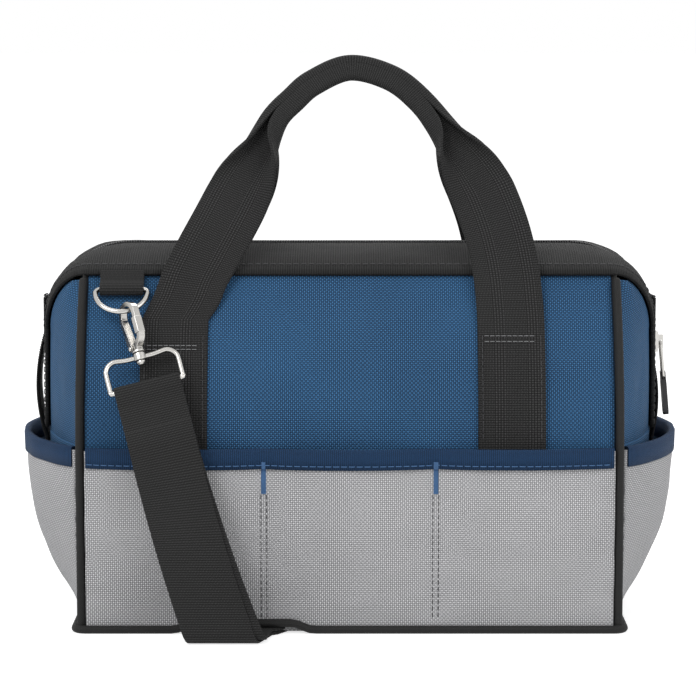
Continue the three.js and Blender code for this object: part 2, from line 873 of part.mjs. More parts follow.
// The lug that the lever turns on, at the left of the neck
function lugOutline() {
  const radius = leverFoot - 0.1;
  const outline = new THREE.Shape();
  outline.moveTo(neckHalf, flangeTop - 0.1);
  outline.lineTo(neckHalf, leverPivotZ + 2 * radius);
  outline.lineTo(leverPivotX, leverPivotZ + radius);
  outline.absarc(leverPivotX, leverPivotZ, radius, Math.PI / 2, 1.5 * Math.PI, false);
  outline.lineTo(-neckHalf, flangeTop - 0.1);
  return outline;
}

// The hook, with the rivet of its lever and the pin and head that it swivels on
function hookBody() {
  const outer = hookHalfWidth + hookBar / 2;
  const stepTop = archHeight - shankStep;
  const half = shankThickness / 2;
  const bend = archHeight - shankLength;
  const shank = block(outer - shankBar, outer + formLap, -half, half, bend, stepTop);
  const leverWidth = lugThickness + 2 * (clearance + leverSheet);
  const headSpan = leverWidth + 2 * clearance;
  const headMiddle = (headSpan + rivetHeadHeight) / 2;
  const rivet = crossBar(leverPivotX, leverPivotZ, rivetRadius, headSpan + formLap, 10);
  const head = crossBar(leverPivotX, leverPivotZ, rivetHead, rivetHeadHeight, 10);
  const nearHead = head.clone().translate(0, -headMiddle, 0);
  const farHead = head.translate(0, headMiddle, 0);
  const lug = solid(plate(lugOutline(), lugThickness));
  // The bar is cut back beside the lever's foot, down to the lug
  const room = block(-outer, barCut, -hookThickness, hookThickness, flangeTop + barCut, bend);
  const bar = solid(plate(hookOutline(), hookThickness)).subtract(solid(room));
  const flangeMiddle = flangeTop - flangeThickness / 2;
  const pinFoot = hubFoot - clearance;
  const rimFoot = pinFoot - swivelHeadRim;
  const swivel = joined([
    turned(flangeTop + formLap, flangeMiddle, neckHalf, flangeRadius),
    turned(flangeMiddle, flangeTop - flangeThickness, flangeRadius, flangeRadius),
    turned(flangeMiddle, rimFoot, swivelPin, swivelPin),
    turned(pinFoot, rimFoot, swivelHead, swivelHead),
    turned(rimFoot, rimFoot - swivelHeadTaper, swivelHead, swivelPin),
  ]);
  return geometryOf(bar.add(lug).add(joined([shank, rivet, nearHead, farHead])).add(swivel));
}

// The lever is a channel of thin sheet, open toward the shank, with its cheeks on both sides
// of the lug
function hookGate() {
  const left = -hookHalfWidth - leverTip / 2;
  const top = archHeight - noseLength - clearance;
  const cheek = new THREE.Shape();
  cheek.moveTo(left, top);
  cheek.lineTo(leverPivotX - leverFoot, leverPivotZ);
  cheek.absarc(leverPivotX, leverPivotZ, leverFoot, Math.PI, 2 * Math.PI, false);
  cheek.lineTo(left + leverTip, top);
  const web = new THREE.Shape();
  web.moveTo(left, top);
  web.lineTo(leverPivotX - leverFoot, leverPivotZ + 2.5);
  web.lineTo(leverPivotX - leverFoot + leverSheet, leverPivotZ + 2.5);
  web.lineTo(left + leverSheet, top);
  const apart = lugThickness / 2 + clearance + leverSheet / 2;
  const lever = joined([
    plate(cheek, leverSheet).translate(0, -apart, 0),
    plate(cheek, leverSheet).translate(0, apart, 0),
    plate(web, 2 * apart),
  ]);
  const hole = crossBar(leverPivotX, leverPivotZ, rivetRadius + clearance, 4 * apart, 10);
  return geometryOf(lever.subtract(solid(hole)));
}

// The wire eye that holds the strap: two lobes and a lower bar, welded to a hub on the pin
function hookEye() {
  const corner = 2.2;
  const lobeTop = hubMiddle + 0.8;
  const lobeX = eyeHalf - eyeLobe;
  const right = [vec(hubRadius - 1, 0, hubMiddle), vec(0.55 * lobeX, 0, hubMiddle)];
  for (let i = 0; i <= 3; i += 1) {
    const angle = (1 - i / 3) * (Math.PI / 2);
    right.push(vec(lobeX + eyeLobe * Math.cos(angle), 0, lobeTop - eyeLobe * (1 - Math.sin(angle))));
  }
  for (let i = 0; i <= 2; i += 1) {
    const angle = (i / 2) * (Math.PI / 2);
    const x = eyeHalf - corner * (1 - Math.cos(angle));
    right.push(vec(x, 0, eyeFoot + corner * (1 - Math.sin(angle))));
  }
  const left = right.map((point) => vec(-point.x, 0, point.z)).reverse();
  const wire = tube([...right, ...left], eyeWire, 6, vec(0, 1, 0));
  const hub = turned(hubTop, hubFoot, hubRadius, hubRadius);
  const bore = turned(hubTop + 1, hubFoot - 1, swivelPin + clearance, swivelPin + clearance);
  return geometryOf(solid(hub).add(solid(wire)).subtract(solid(bore)));
}

// The doubled end of the strap, folded over the eye's lower wire
function strapLoop() {
  const bend = eyeWire + clearance + strapThickness / 2;
  const right = [
    vec(0, layerOffset, loopFoot),
    vec(0, layerOffset, eyeFoot - loopOpening),
    vec(0, bend, eyeFoot - loopShoulder),
  ];
  const arc = [];
  for (let i = 0; i <= 6; i += 1) {
    const angle = (i / 6) * Math.PI;
    arc.push(vec(0, bend * Math.cos(angle), eyeFoot + bend * Math.sin(angle)));
  }
  const left = right.map((point) => vec(0, -point.y, point.z)).reverse();
  const line = [...right, ...arc, ...left];
  const frames = line.map((point, i) => {
    const before = line[Math.max(i - 1, 0)];
    const after = line[Math.min(i + 1, line.length - 1)];
    const tangent = after.clone().sub(before).normalize();
    return { point, across: vec(1, 0, 0), face: tangent.cross(vec(1, 0, 0)) };
  });
  return sweep(frames, () => bandSection(webbingWidth, strapThickness));
}

// Where the hardware hangs, as nested groups
function ringGroup() {
  const group = new THREE.Group();
  group.position.copy(ringPivot());
  group.rotation.x = -ringLean * degrees;
  return group;
}

// The hook leans with the wall behind it, less the little that the D-ring holds it off
function hangLean() {
  const out = wallDepth(ringHeight - hookReach) - wallDepth(ringHeight);
  return Math.atan2(out, hookReach) / degrees - hangEase;
}

function hookGroup() {
  const group = new THREE.Group();
  group.position.set(hangShift, 0, ringLow(hangShift));
  group.rotation.set((ringLean - hangLean()) * degrees, -hangTilt * degrees, 0);
  return group;
}

// A point of the hook's frame in the frame of the whole bag
function hangPoint(point) {
  const ring = ringGroup();
  const hook = hookGroup();
  ring.add(hook);
  ring.updateMatrixWorld(true);
  return point.clone().applyMatrix4(hook.matrixWorld);
}

// Strap strands. Each runs from the loop down to the floor, round the turn at its foot and
// under the bag to its middle. The second layer follows the first one on its inner side

// The strap's side view, as a straight fall, a turn at the foot and a run along the floor
function strapProfile(layer) {
  const inset = layer * layerPitch;
  const start = hangPoint(vec(0, -layerOffset, loopFoot - clearance));
  const radius = strapFootRadius;
  const floor = strapFloorGap + strapThickness / 2;
  const centre = { y: -(halfDepth + strapFootOut) + radius, z: floor + radius };
  let lean = 0;
  for (let i = 0; i < 20; i += 1) {
    const y = centre.y - radius * Math.cos(lean);
    const z = centre.z + radius * Math.sin(lean);
    lean = Math.atan2(start.y - y, start.z - z);
  }
  const turn = Math.PI / 2 + lean;
  const y = centre.y - radius * Math.cos(lean);
  const z = centre.z + radius * Math.sin(lean);
  const fall = Math.hypot(start.y - y, start.z - z);
  const arc = turn * (radius - inset);
  return { start, centre, lean, inset, fall, arc, radius: radius - inset };
}

// Position and outward normal at a distance along the profile
function profileAt(profile, distance) {
  const { start, centre, lean, inset, fall, arc, radius } = profile;
  if (distance <= fall) {
    const out = vec(0, -Math.cos(lean), Math.sin(lean));
    const down = vec(0, -Math.sin(lean), -Math.cos(lean));
    const point = vec(0, start.y, start.z).addScaledVector(out, -inset);
    return { point: point.addScaledVector(down, distance), out };
  }
  if (distance <= fall + arc) {
    const angle = Math.PI - lean + ((distance - fall) / arc) * (Math.PI / 2 + lean);
    const out = vec(0, Math.cos(angle), Math.sin(angle));
    return { point: vec(0, centre.y, centre.z).addScaledVector(out, radius), out };
  }
  const point = vec(0, centre.y + distance - fall - arc, centre.z - radius);
  return { point, out: vec(0, 0, -1) };
}

// Sideways place of the strap's middle and its slope, at a distance along the profile
function strapSway(profile, distance) {
  const { start, centre, fall, arc, inset } = profile;
  const spread = inset > 0 ? strapSpread : 0;
  const footAt = fall + arc;
  if (distance <= footAt) {
    const shift = strapFootX + spread - start.x;
    const share = distance / footAt;
    return {
      x: start.x + shift * mix(share, share * share, strapCurve),
      slope: (shift * mix(1, 2 * share, strapCurve)) / footAt,
    };
  }
  const entryY = -(halfDepth + footTop);
  const entryAt = footAt + entryY - centre.y;
  if (distance >= entryAt) {
    return { x: (entryY + distance - entryAt) * strapSlope, slope: strapSlope };
  }
  const share = (distance - footAt) / (entryAt - footAt);
  const from = strapFootX + spread;
  const to = entryY * strapSlope;
  const slope = (to - from) / (entryAt - footAt);
  return { x: mix(from, to, share), slope };
}

// One row of the strand's section, across the strap, turned by a tilt at its top end
function strapRow(profile, distance, tilt) {
  const { x, slope } = strapSway(profile, distance);
  const half = webbingWidth / 2 / Math.cos(Math.atan(slope) - tilt);
  const corners = [];
  for (const [side, face] of [[-1, -1], [1, -1], [1, 1], [-1, 1]]) {
    const { point, out } = profileAt(profile, distance - side * half * Math.sin(tilt));
    point.x = x + side * half * Math.cos(tilt);
    corners.push(point.addScaledVector(out, (face * strapThickness) / 2));
  }
  return corners;
}

function strapStrand(layer, from) {
  const profile = strapProfile(layer);
  const { centre, fall, arc } = profile;
  const startAt = Math.max(from * fall, clearance * (1 + 3 * layer));
  const end = fall + arc - centre.y - clearance / 2;
  const stops = [];
  for (let i = 0; i <= 5; i += 1) {
    stops.push(mix(startAt, fall, i / 5));
  }
  for (let i = 1; i <= 6; i += 1) {
    stops.push(fall + (arc * i) / 6);
  }
  for (const share of [0.09, 0.18, 0.3, 0.6, 1]) {
    stops.push(mix(fall + arc, end, share));
  }
  const points = [];
  const triangles = [];
  stops.forEach((distance, i) => {
    const tilt = i < 3 ? hangTilt * degrees * (1 - i / 3) : 0;
    points.push(...strapRow(profile, distance, from > 0 ? 0 : tilt));
  });
  for (let i = 0; i < stops.length - 1; i += 1) {
    for (let k = 0; k < 4; k += 1) {
      const a = 4 * i + k;
      const b = 4 * i + ((k + 1) % 4);
      triangles.push([a, b, b + 4], [a, b + 4, a + 4]);
    }
  }
  const last = 4 * (stops.length - 1);
  triangles.push([2, 1, 0], [3, 2, 0], [last, last + 1, last + 2], [last, last + 2, last + 3]);
  return closedGeometry(points, triangles);
}

// The middle of the outer layer at a share of its fall
function strapFall(share) {
  const profile = strapProfile(0);
  const distance = share * profile.fall;
  const { point } = profileAt(profile, distance);
  point.x = strapSway(profile, distance).x;
  return point;
}

// Slide adjuster: two rails, two end bars behind the strap and a middle bar in front of it
function adjuster() {
  const rail = webbingWidth / 2 + 0.6;
  const bar = strapThickness / 2 + 2 * clearance + adjusterBar;
  const deep = bar + adjusterBar;
  const half = adjusterLength / 2;
  const sides = [-1, 1].map((side) => {
    const inner = side * rail;
    const outer = side * (rail + 3);
    return block(Math.min(inner, outer), Math.max(inner, outer), -deep, deep, -half, half);
  });
  const bars = [[bar, half - adjusterBar], [-bar, 0], [bar, adjusterBar - half]].map(([y, z]) => {
    const round = new THREE.CylinderGeometry(adjusterBar, adjusterBar, 2 * rail + 2, 10);
    round.rotateZ(Math.PI / 2);
    round.translate(0, y, z);
    return round;
  });
  return geometryOf(joined([...sides, ...bars]));
}

function adjusterGroup() {
  const up = strapFall(adjusterPlace - 0.1).sub(strapFall(adjusterPlace + 0.1)).normalize();
  const face = profileAt(strapProfile(0), 0).out.negate();
  const across = vec(0, 0, 0).crossVectors(face, up);
  const group = new THREE.Group();
  group.quaternion.setFromRotationMatrix(new THREE.Matrix4().makeBasis(across, face, up));
  group.position.copy(strapFall(adjusterPlace));
  return group;
}

// Zip tails, slider and pull, at the right-hand end

// A tail of the zip that hangs down the end and into its pocket. It stands off by a bow, which
// is widest at its height and ends at the foot of the straight stretch
function zipTail(bow, bowHeight, straightFoot) {
  const line = [];
  const steps = 11;
  for (let i = 0; i <= steps; i += 1) {
    const z = mix(tailFoot, tailTop, i / steps);
    const away = 1 - ((z - bowHeight) / (straightFoot - bowHeight)) ** 2;
    line.push(vec(endReach(0, z) + zipStandOff + bow * Math.max(0, away), 0, z));
  }
  const w = tailWidth / 2;
  const c = coilHalfWidth;
  const section = [
    [-w, 0], [-w, -tapeThickness], [w, -tapeThickness], [w, 0],
    [c, 0], [c, coilHeight / 2], [-c, coilHeight / 2], [-c, 0],
  ];
  return sweep(pathFrames(line, [vec(1, 0, 0)]), () => section);
}

// The slider rides over the coil: a waisted plate with flanges and a bridge for the pull
function zipSlider() {
  const half = sliderLength / 2;
  const wide = 5;
  const narrow = 3.6;
  const outline = new THREE.Shape();
  outline.moveTo(-half, -wide);
  outline.quadraticCurveTo(0, -narrow - 0.6, half, -narrow);
  outline.lineTo(half, narrow);
  outline.quadraticCurveTo(0, narrow + 0.6, -half, wide);
  const body = new THREE.ExtrudeGeometry(outline, {
    depth: sliderTop, bevelEnabled: false, curveSegments: 5,
  });
  body.rotateY(-Math.PI / 2);
  body.rotateX(Math.PI);
  body.translate(sliderTop, 0, 0);
  const groove = coilHeight / 2;
  const grooveHalf = coilHalfWidth + clearance;
  const channel = block(-1, groove, -grooveHalf, grooveHalf, -half - 1, half + 1);
  const bridge = block(sliderTop - 0.2, sliderTop + bridgeHeight, -1.2, 1.2, 2 - half, half - 2);
  const eye = crossBar(sliderTop + bridgeHeight / 2, 0, pullWire + clearance, 2 * wide, 10);
  return geometryOf(solid(body).subtract(solid(channel)).add(solid(bridge)).subtract(solid(eye)));
}

// The pull's wire hangs through the slider's bridge and carries the tag
function pullLink() {
  return tube(pullLinkLine(), pullWire, 6, vec(1, 0, 0), true);
}

function pullTag() {
  const outline = new THREE.Shape();
  const half = pullWidth / 2 - 1.2;
  const neck = -pullLinkLength;
  outline.moveTo(-half, neck + 4);
  outline.lineTo(half, neck + 4);
  outline.lineTo(half, neck + 0.2);
  outline.lineTo(half + 1.6, neck - 3);
  outline.lineTo(half + 1.6, neck - pullTagLength + 3);
  outline.quadraticCurveTo(half + 1.6, neck - pullTagLength, 0, neck - pullTagLength);
  outline.quadraticCurveTo(-half - 1.6, neck - pullTagLength, -half - 1.6, neck - pullTagLength + 3);
  outline.lineTo(-half - 1.6, neck - 3);
  outline.lineTo(-half, neck + 0.2);
  const thick = 3;
  const tag = new THREE.ExtrudeGeometry(outline, {
    depth: thick, bevelEnabled: false, curveSegments: 4,
  });
  tag.translate(0, 0, -thick / 2);
  tag.rotateX(Math.PI / 2);
  tag.rotateZ(Math.PI / 2);
  const slot = tube(pullLinkLine(), pullWire + clearance, 6, vec(1, 0, 0), true);
  return geometryOf(solid(tag).subtract(solid(slot)));
}

function pullLinkLine() {
  const half = pullWidth / 2;
  const bottom = -pullLinkLength;
  const corner = 1.6;
  return [
    vec(0, -half + corner, 0), vec(0, half - corner, 0), vec(0, half, -corner),
    vec(0, half, bottom + corner), vec(0, half - corner, bottom),
    vec(0, corner - half, bottom), vec(0, -half, bottom + corner), vec(0, -half, -corner),
  ];
}

// The whole bag

const bag = new THREE.Group();

add(bag, 'base_panel', basePanel(), pipingBlack);
add(bag, 'base_board', baseBoard(), boardBlack);
add(bag, 'foot_piping', footPiping(), pipingBlack);

const pocketTop = pocketRim - 2 * bindingThickness;
const frontHeights = lowHeights(pocketTop, 4);
const endHeights = lowHeights(pocketTop, 5);
const lowerFace = frontPatch(-frontEdge, frontEdge, [...frontHeights, pocketRim], wallColumns);
const lowerWall = shell(lowerFace, wallThickness);
const lowerEnd = shell(endPatch([...endHeights, pocketRim], endColumns), wallThickness);
const frontPocket = shell(frontPocketGrid(frontHeights, pocketColumns), pocketWall);
const endPocket = shell(endPocketGrid(endHeights, endColumns), pocketWall);
const rimLean = endReach(0, pocketRim) - endReach(0, pocketRim - bindingHeight);
const frontRim = pocketBinding(frontPocketGrid, pocketColumns, () => 0);
const endRim = pocketBinding(endPocketGrid, endColumns, (share) => (
  rimLean * (1 - (2 * share - 1) ** 2)
));
const highPiping = cornerPiping(pocketHeight + clearance, seamHeight - pipingBelowSeam, 8);
const highHeights = evenHeights(pocketHeight + clearance, wallTop, 8);
const upperWall = shell(
  frontPatch(-frontEdge, frontEdge, highHeights, wallColumns),
  wallThickness,
);
const band = hemBand();
const rod = frameRod();
const zip = zipHalf();
const wing = endWing();
const stripLeft = handleStrip(handleLeft);
const stripRight = handleStrip(handleRight);
const grip = handle();

for (const [side, y] of [['front', 1], ['rear', -1]]) {
  add(bag, `${side}_lower_wall`, clearOfStrap(mirrored(lowerWall, 1, y)), fabricBlue);
  add(bag, `${side}_pocket`, clearOfStrap(mirrored(frontPocket, 1, y)), fabricGrey);
  add(bag, `${side}_pocket_binding`, mirrored(frontRim, 1, y), tapeNavy);
  add(bag, `${side}_upper_wall`, mirrored(upperWall, 1, y), fabricBlue);
  add(bag, `${side}_hem_band`, mirrored(band, 1, y), webbingBlack);
  add(bag, `${side}_frame_rod`, mirrored(rod, 1, y), steel);
  add(bag, `${side}_zip_half`, mirrored(zip, 1, y), zipBlack);
  add(bag, `${side}_handle_strip_left`, mirrored(stripLeft, 1, y), webbingBlack);
  add(bag, `${side}_handle_strip_right`, mirrored(stripRight, 1, y), webbingBlack);
  add(bag, `${side}_handle`, mirrored(grip, 1, y), webbingBlack);
  for (const [end, x] of [['left', -1], ['right', 1]]) {
    add(bag, `${side}_${end}_upper_piping`, mirrored(highPiping, x, y), pipingBlack);
    add(bag, `${side}_${end}_wing`, mirrored(wing, x, y), fabricBlue);
  }
}

for (const [end, x] of [['left', -1], ['right', 1]]) {
  add(bag, `${end}_end_wall`, mirrored(lowerEnd, x, 1), fabricBlue);
  add(bag, `${end}_pocket`, mirrored(endPocket, x, 1), fabricGrey);
  add(bag, `${end}_pocket_binding`, mirrored(endRim, x, 1), tapeNavy);
}

// The left tail stands off further than the right one, which carries the slider
const leftTail = zipTail(leftTailBow, leftBowHeight, leftStraightFoot);
const rightTail = zipTail(rightTailBow, rightBowHeight, sliderHeight - sliderLength);
add(bag, 'zip_tail_left', mirrored(leftTail, -1, 1), zipBlack);
add(bag, 'zip_tail_right', rightTail, zipBlack);

const slider = add(bag, 'zip_slider', zipSlider(), nickel);
slider.position.set(sliderX, 0, sliderHeight);
const pull = new THREE.Group();
pull.position.set(sliderX + sliderTop + bridgeHeight / 2, 0, sliderHeight);
pull.rotation.y = -pullLean * degrees;
add(pull, 'zip_pull_link', pullLink(), nickel);
add(pull, 'zip_pull_tag', pullTag(), webbingBlack);
bag.add(pull);

// Each long side has a D-ring, a hook and its end of the strap. The rear ones are the front
// ones turned half round
for (const side of ['front', 'rear']) {
  const half = new THREE.Group();
  half.rotation.z = side === 'front' ? 0 : Math.PI;
  const tab = add(half, `${side}_ring_tab`, ringTab(), webbingBlack);
  tab.position.copy(ringPivot());
  tab.rotation.x = -wallSlope(ringHeight);
  const ring = ringGroup();
  add(ring, `${side}_d_ring`, dRing(), nickel);
  const hang = hookGroup();
  add(hang, `${side}_hook_eye`, hookEye(), nickel);
  add(hang, `${side}_strap_loop`, strapLoop(), webbingBlack);
  const turning = new THREE.Group();
  turning.rotation.z = hookTurn * degrees;
  add(turning, `${side}_hook`, hookBody(), nickel);
  add(turning, `${side}_hook_gate`, hookGate(), nickel);
  hang.add(turning);
  ring.add(hang);
  half.add(ring);
  add(half, `${side}_strap_run`, strapStrand(0, 0), webbingBlack);
  const returnFrom = side === 'front' ? 0 : adjusterPlace + 0.17;
  add(half, `${side}_strap_return`, strapStrand(1, returnFrom), webbingBlack);
  if (side === 'rear') {
    const buckle = adjusterGroup();
    add(buckle, 'strap_adjuster', adjuster(), nickel);
    half.add(buckle);
  }
  bag.add(half);
}

export default bag;
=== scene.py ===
import math
import bpy
from mathutils import Matrix, Vector, noise


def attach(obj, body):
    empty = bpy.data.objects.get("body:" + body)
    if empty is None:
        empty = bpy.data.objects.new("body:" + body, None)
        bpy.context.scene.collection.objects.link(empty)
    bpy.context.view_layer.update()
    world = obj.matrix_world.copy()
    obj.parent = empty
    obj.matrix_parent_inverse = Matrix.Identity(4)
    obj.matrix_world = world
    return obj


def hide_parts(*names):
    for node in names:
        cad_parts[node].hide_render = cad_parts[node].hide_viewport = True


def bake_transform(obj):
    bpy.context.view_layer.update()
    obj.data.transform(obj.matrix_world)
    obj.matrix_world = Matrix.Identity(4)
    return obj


# Zippered tool bag: the fabric, webbing, zip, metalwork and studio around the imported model.
# Sizes here are millimetres, turned into Blender's metres where a mesh is made. The sizes of the
# studio, the bends and the defaults of node groups are metres.
# X runs along the bag, -Y is its front and +Z is up.

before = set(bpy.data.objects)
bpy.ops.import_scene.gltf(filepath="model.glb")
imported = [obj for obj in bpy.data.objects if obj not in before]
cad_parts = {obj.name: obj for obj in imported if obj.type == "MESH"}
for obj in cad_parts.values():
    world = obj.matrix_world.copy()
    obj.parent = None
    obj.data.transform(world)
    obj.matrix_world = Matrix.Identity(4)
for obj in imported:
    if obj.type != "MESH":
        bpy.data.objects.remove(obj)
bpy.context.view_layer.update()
MM = 0.001

# Body of the bag, as in the model
BAG_LENGTH = 303.0
BAG_DEPTH = 186.0
SEAM_HEIGHT = 204.0
ZIP_HEIGHT = 215.0
POCKET_HEIGHT = 106.5
MOUTH_DEPTH = 110.0
FRONT_BELLY = 3.0
END_BULGE = 27.0
END_BULGE_RISE = 26.0
WING_BULGE = 2.8
WALL_THICKNESS = 2.0
FRONT_EDGE_GAP = 1.8
END_EDGE_GAP = 2.6
CLEARANCE = 0.3
BASE_THICKNESS = 6.0
BASE_CORNER = 10.0
BASE_ROUNDING = 1.2

# Piping and pockets
PIPING_RADIUS = 2.3
PIPING_PROUD = 1.1
PIPING_FLANGE_HALF = 0.4
PIPING_FLANGE_REACH = 4.9
FOOT_LOOP_RADIUS = 6.0
POCKET_WALL = 1.6
FRONT_POCKET_GAP = 7.0
END_POCKET_GAP = 12.5
DIVIDER_SPACING = 97.0
BINDING_HEIGHT = 11.5
BINDING_THICKNESS = 1.0
BINDING_CROWN = 1.2

# Hem bands and zip
BAND_THICKNESS = 1.8
BAND_LAP = 2.5
BAND_LEG_DEPTH = 24.0
BAND_FOOT = 108.0
BAND_CORNER = 50.0
SEAM_CORNER_REACH = 28.0
ZIP_GAP = 4.7
ZIP_STAND_OFF = 2.0
TAPE_THICKNESS = 1.0
COIL_PITCH = 1.5
COIL_RADIUS = 0.85
COIL_THREAD = 0.42
TEETH_OFFSET = 1.3
TAIL_TEETH_OFFSET = 1.05
TAIL_WIDTH = 26.0
TAIL_TOP = 183.0
TAIL_FOOT = 97.0
LEFT_TAIL = {"bow": 5.0, "bow_height": 130.0, "straight_foot": 162.0}
RIGHT_TAIL = {"bow": 2.5, "bow_height": 122.0, "straight_foot": 144.0}

# Handles
WEBBING_WIDTH = 38.0
WEBBING_THICKNESS = 1.8
HANDLE_LEFT = -99.5
HANDLE_RIGHT = 91.5
HANDLE_SEAM = 175.0
HANDLE_TOP = 317.0
GRIP_WIDTH = 16.0
GRIP_THICKNESS = 5.6
GRIP_SEAM = 0.35
HANDLE_GAP = 7.5
STRIP_SINK = 0.1
# Shares of a handle's length: it lies level to the first, and folds between the other two
LEVEL_SHARE = 5 / 36
FOLD_START = 0.19
FOLD_END = 0.385

# D-rings
RING_OFFSET = 130.0
RING_HEIGHT = 191.0
TAB_WIDTH = 25.0
TAB_THICKNESS = 1.6
TAB_LENGTH = 9.0
RING_WIRE = 1.5
RING_WIDTH = 29.5
RING_CORNER = 2.0
RING_DROP = 17.5
RING_LEAN = 50.0

# Swivel snap hooks. Heights are measured from the wire of the D-ring that the hook hangs on
HANG_EASE = 3.8
HANG_TILT = 15.0
HANG_SHIFT = 4.5
HOOK_TURN = -54.0
HOOK_HALF_WIDTH = 6.4
HOOK_BAR = 2.6
HOOK_THICKNESS = 4.0
NOSE_LENGTH = 0.8
SHANK_STEP = 3.4
SHANK_BAR = 3.6
SHANK_THICKNESS = 5.0
SHANK_LENGTH = 13.5
BAR_CUT = 0.4
HOOK_REACH = 21.9
LUG_THICKNESS = 2.6
LEVER_PIVOT_X = -4.0
LEVER_PIVOT_RISE = 2.5
LEVER_FOOT = 1.8
LEVER_TIP = 2.4
LEVER_SHEET = 0.7
RIVET_PIN = 0.8
RIVET_HEAD = 1.5
RIVET_RISE = 0.75
NECK_HALF = 2.2
NECK_HEIGHT = 1.5
SHANK_BEND = 3.0
WEB_FOOT = 2.5
HOOK_EDGE = 0.7
SHANK_EDGE = 0.5
THIN_EDGE = 0.2
SHEET_EDGE = 0.12
FLANGE_RADIUS = 4.0
FLANGE_THICKNESS = 1.6
SWIVEL_PIN = 1.6
SWIVEL_HEAD = 2.8
SWIVEL_RIM = 1.0
SWIVEL_DOME = 1.2
HUB_RADIUS = 3.8
HUB_HEIGHT = 4.6
EYE_WIRE = 1.5
EYE_DEPTH = 17.4
EYE_LOBE = 6.5
EYE_CORNER = 2.2

# Shoulder strap
STRAP_THICKNESS = 1.4
STRAP_LAYER_GAP = 0.5
STRAP_FOOT_X = -70.0
STRAP_FOOT_OUT = 36.5
STRAP_FOOT_RADIUS = 6.0
STRAP_FLOOR_GAP = 0.15
STRAP_LOOP_LENGTH = 33.0
LOOP_OPENING = 10.0
LOOP_SHOULDER = 2.0
STRAP_SLOPE = 0.62
STRAP_SPREAD = 4.0
STRAP_CURVE = 0.2
CHANNEL_MARGIN = 2.2
CHANNEL_SLOPE = 6.0
ADJUSTER_PLACE = 0.45
# The strap turns from the hook's lean to its own fall over this length, half of it in the loop
STRAP_EASE = 16.0
UPPER_LENGTH = 15.0
ADJUSTER_ROOM = 33.0
HOOK_ROOM = 0.6

# Steps along and up each panel's grid
WALL_GRID = (84, 66)
POCKET_GRID = (160, 56)
END_GRID = (48, 34)
END_POCKET_GRID = (64, 44)
PANEL_FOOT = 1.0

# Slack of the sewn panels: height, size and seed of each wave
WALL_SLACK = ((1.3, 46, 3.1), (0.5, 17, 7.7))
POCKET_SLACK = ((1.3, 40, 11.3), (0.45, 15, 4.4))
END_POCKET_SLACK = ((1.6, 34, 8.1), (0.5, 14, 2.4))
BAND_SLACK = ((0.7, 30, 5.5), (0.5, 12, 9.1))
WING_SLACK = ((1.6, 26, 6.2), (0.6, 11, 1.9))
CLOTH_FADE = 0.12

# Stitches: length, gap and thread, and whether they lie across their row
TACK = (2.6, 0.5, 0.26, True)
DIVIDER_STITCH = (2.6, 1.2, 0.24)
STRIP_STITCH = (2.4, 0.8, 0.26)
EDGE_STITCH = (2.8, 1.0, 0.24)
STITCH_RISE = 0.3
HEM_SEAM_SHARE = 0.9
HEM_SEAM_RISE = 0.55
DIVIDER_SEAM_OFFSET = 1.6
STRIP_ROW_HALF = 14.0
EDGE_INSET = 2.5
TACK_DROP = 7.5
TACK_LENGTH = 18.0
STRIP_SEAMS = (("left", HANDLE_LEFT, (159.8, 161.8)), ("right", HANDLE_RIGHT, (164, 167)))

# Studio, in metres. The picture is 696 pixels wide, at 0.595 mm a pixel at the bag's middle
FLOOR_HALF = 30.0
CAMERA_DISTANCE = 1.7
CAMERA_ELEVATION = 6.5
CAMERA_AIM = (-0.001, 0, 0.1519)
PICTURE_WIDTH = 696 * 0.595
# Each light's place, the height that it is aimed at, its power and its width
LIGHTS = (
    ("key light", (-1.3, -1.6, 1.9), 0.12, 30, 1.4),
    ("fill light", (1.6, -1.4, 1.2), 0.12, 14, 1.6),
    ("back light", (0.3, 1.6, 1.9), 0.15, 16, 1.4),
)

# Values that follow from the sizes above
CHANNEL_HEIGHT = STRAP_FLOOR_GAP + 2 * STRAP_THICKNESS + STRAP_LAYER_GAP + CLEARANCE
HALF_LENGTH = BAG_LENGTH / 2
HALF_DEPTH = BAG_DEPTH / 2
WALL_LEAN = HALF_DEPTH - MOUTH_DEPTH / 2
BAND_RISE = ZIP_HEIGHT - BAND_CORNER
POCKET_RIM = POCKET_HEIGHT - CLEARANCE
BINDING_ROOM = BINDING_THICKNESS + CLEARANCE
FOOT_TOP = 2 * PIPING_RADIUS + CHANNEL_HEIGHT
FRONT_EDGE = HALF_LENGTH - FRONT_EDGE_GAP
ARCH_HEIGHT = RING_WIRE + 2 * CLEARANCE + HOOK_BAR / 2 - HOOK_HALF_WIDTH
FLANGE_TOP = ARCH_HEIGHT - HOOK_REACH
HUB_TOP = FLANGE_TOP - FLANGE_THICKNESS - CLEARANCE
HUB_MIDDLE = HUB_TOP - HUB_HEIGHT / 2
HUB_FOOT = HUB_TOP - HUB_HEIGHT
LEVER_PIVOT_Z = FLANGE_TOP + LEVER_PIVOT_RISE
EYE_HALF = WEBBING_WIDTH / 2 + CLEARANCE + EYE_WIRE
EYE_FOOT = HUB_MIDDLE - EYE_DEPTH
LOOP_FOOT = EYE_FOOT - STRAP_LOOP_LENGTH
LAYER_PITCH = STRAP_THICKNESS + STRAP_LAYER_GAP
LAYER_OFFSET = LAYER_PITCH / 2
MIDDLE = Vector((0, 0, SEAM_HEIGHT / 2))
OTHER_SIDE = Matrix.Diagonal((1, -1, 1, 1))

# Each side's name with the sign that turns the front's places to it, and each end's with its own
SIDES = (("front", 1), ("rear", -1))
ENDS = (("left", -1), ("right", 1))

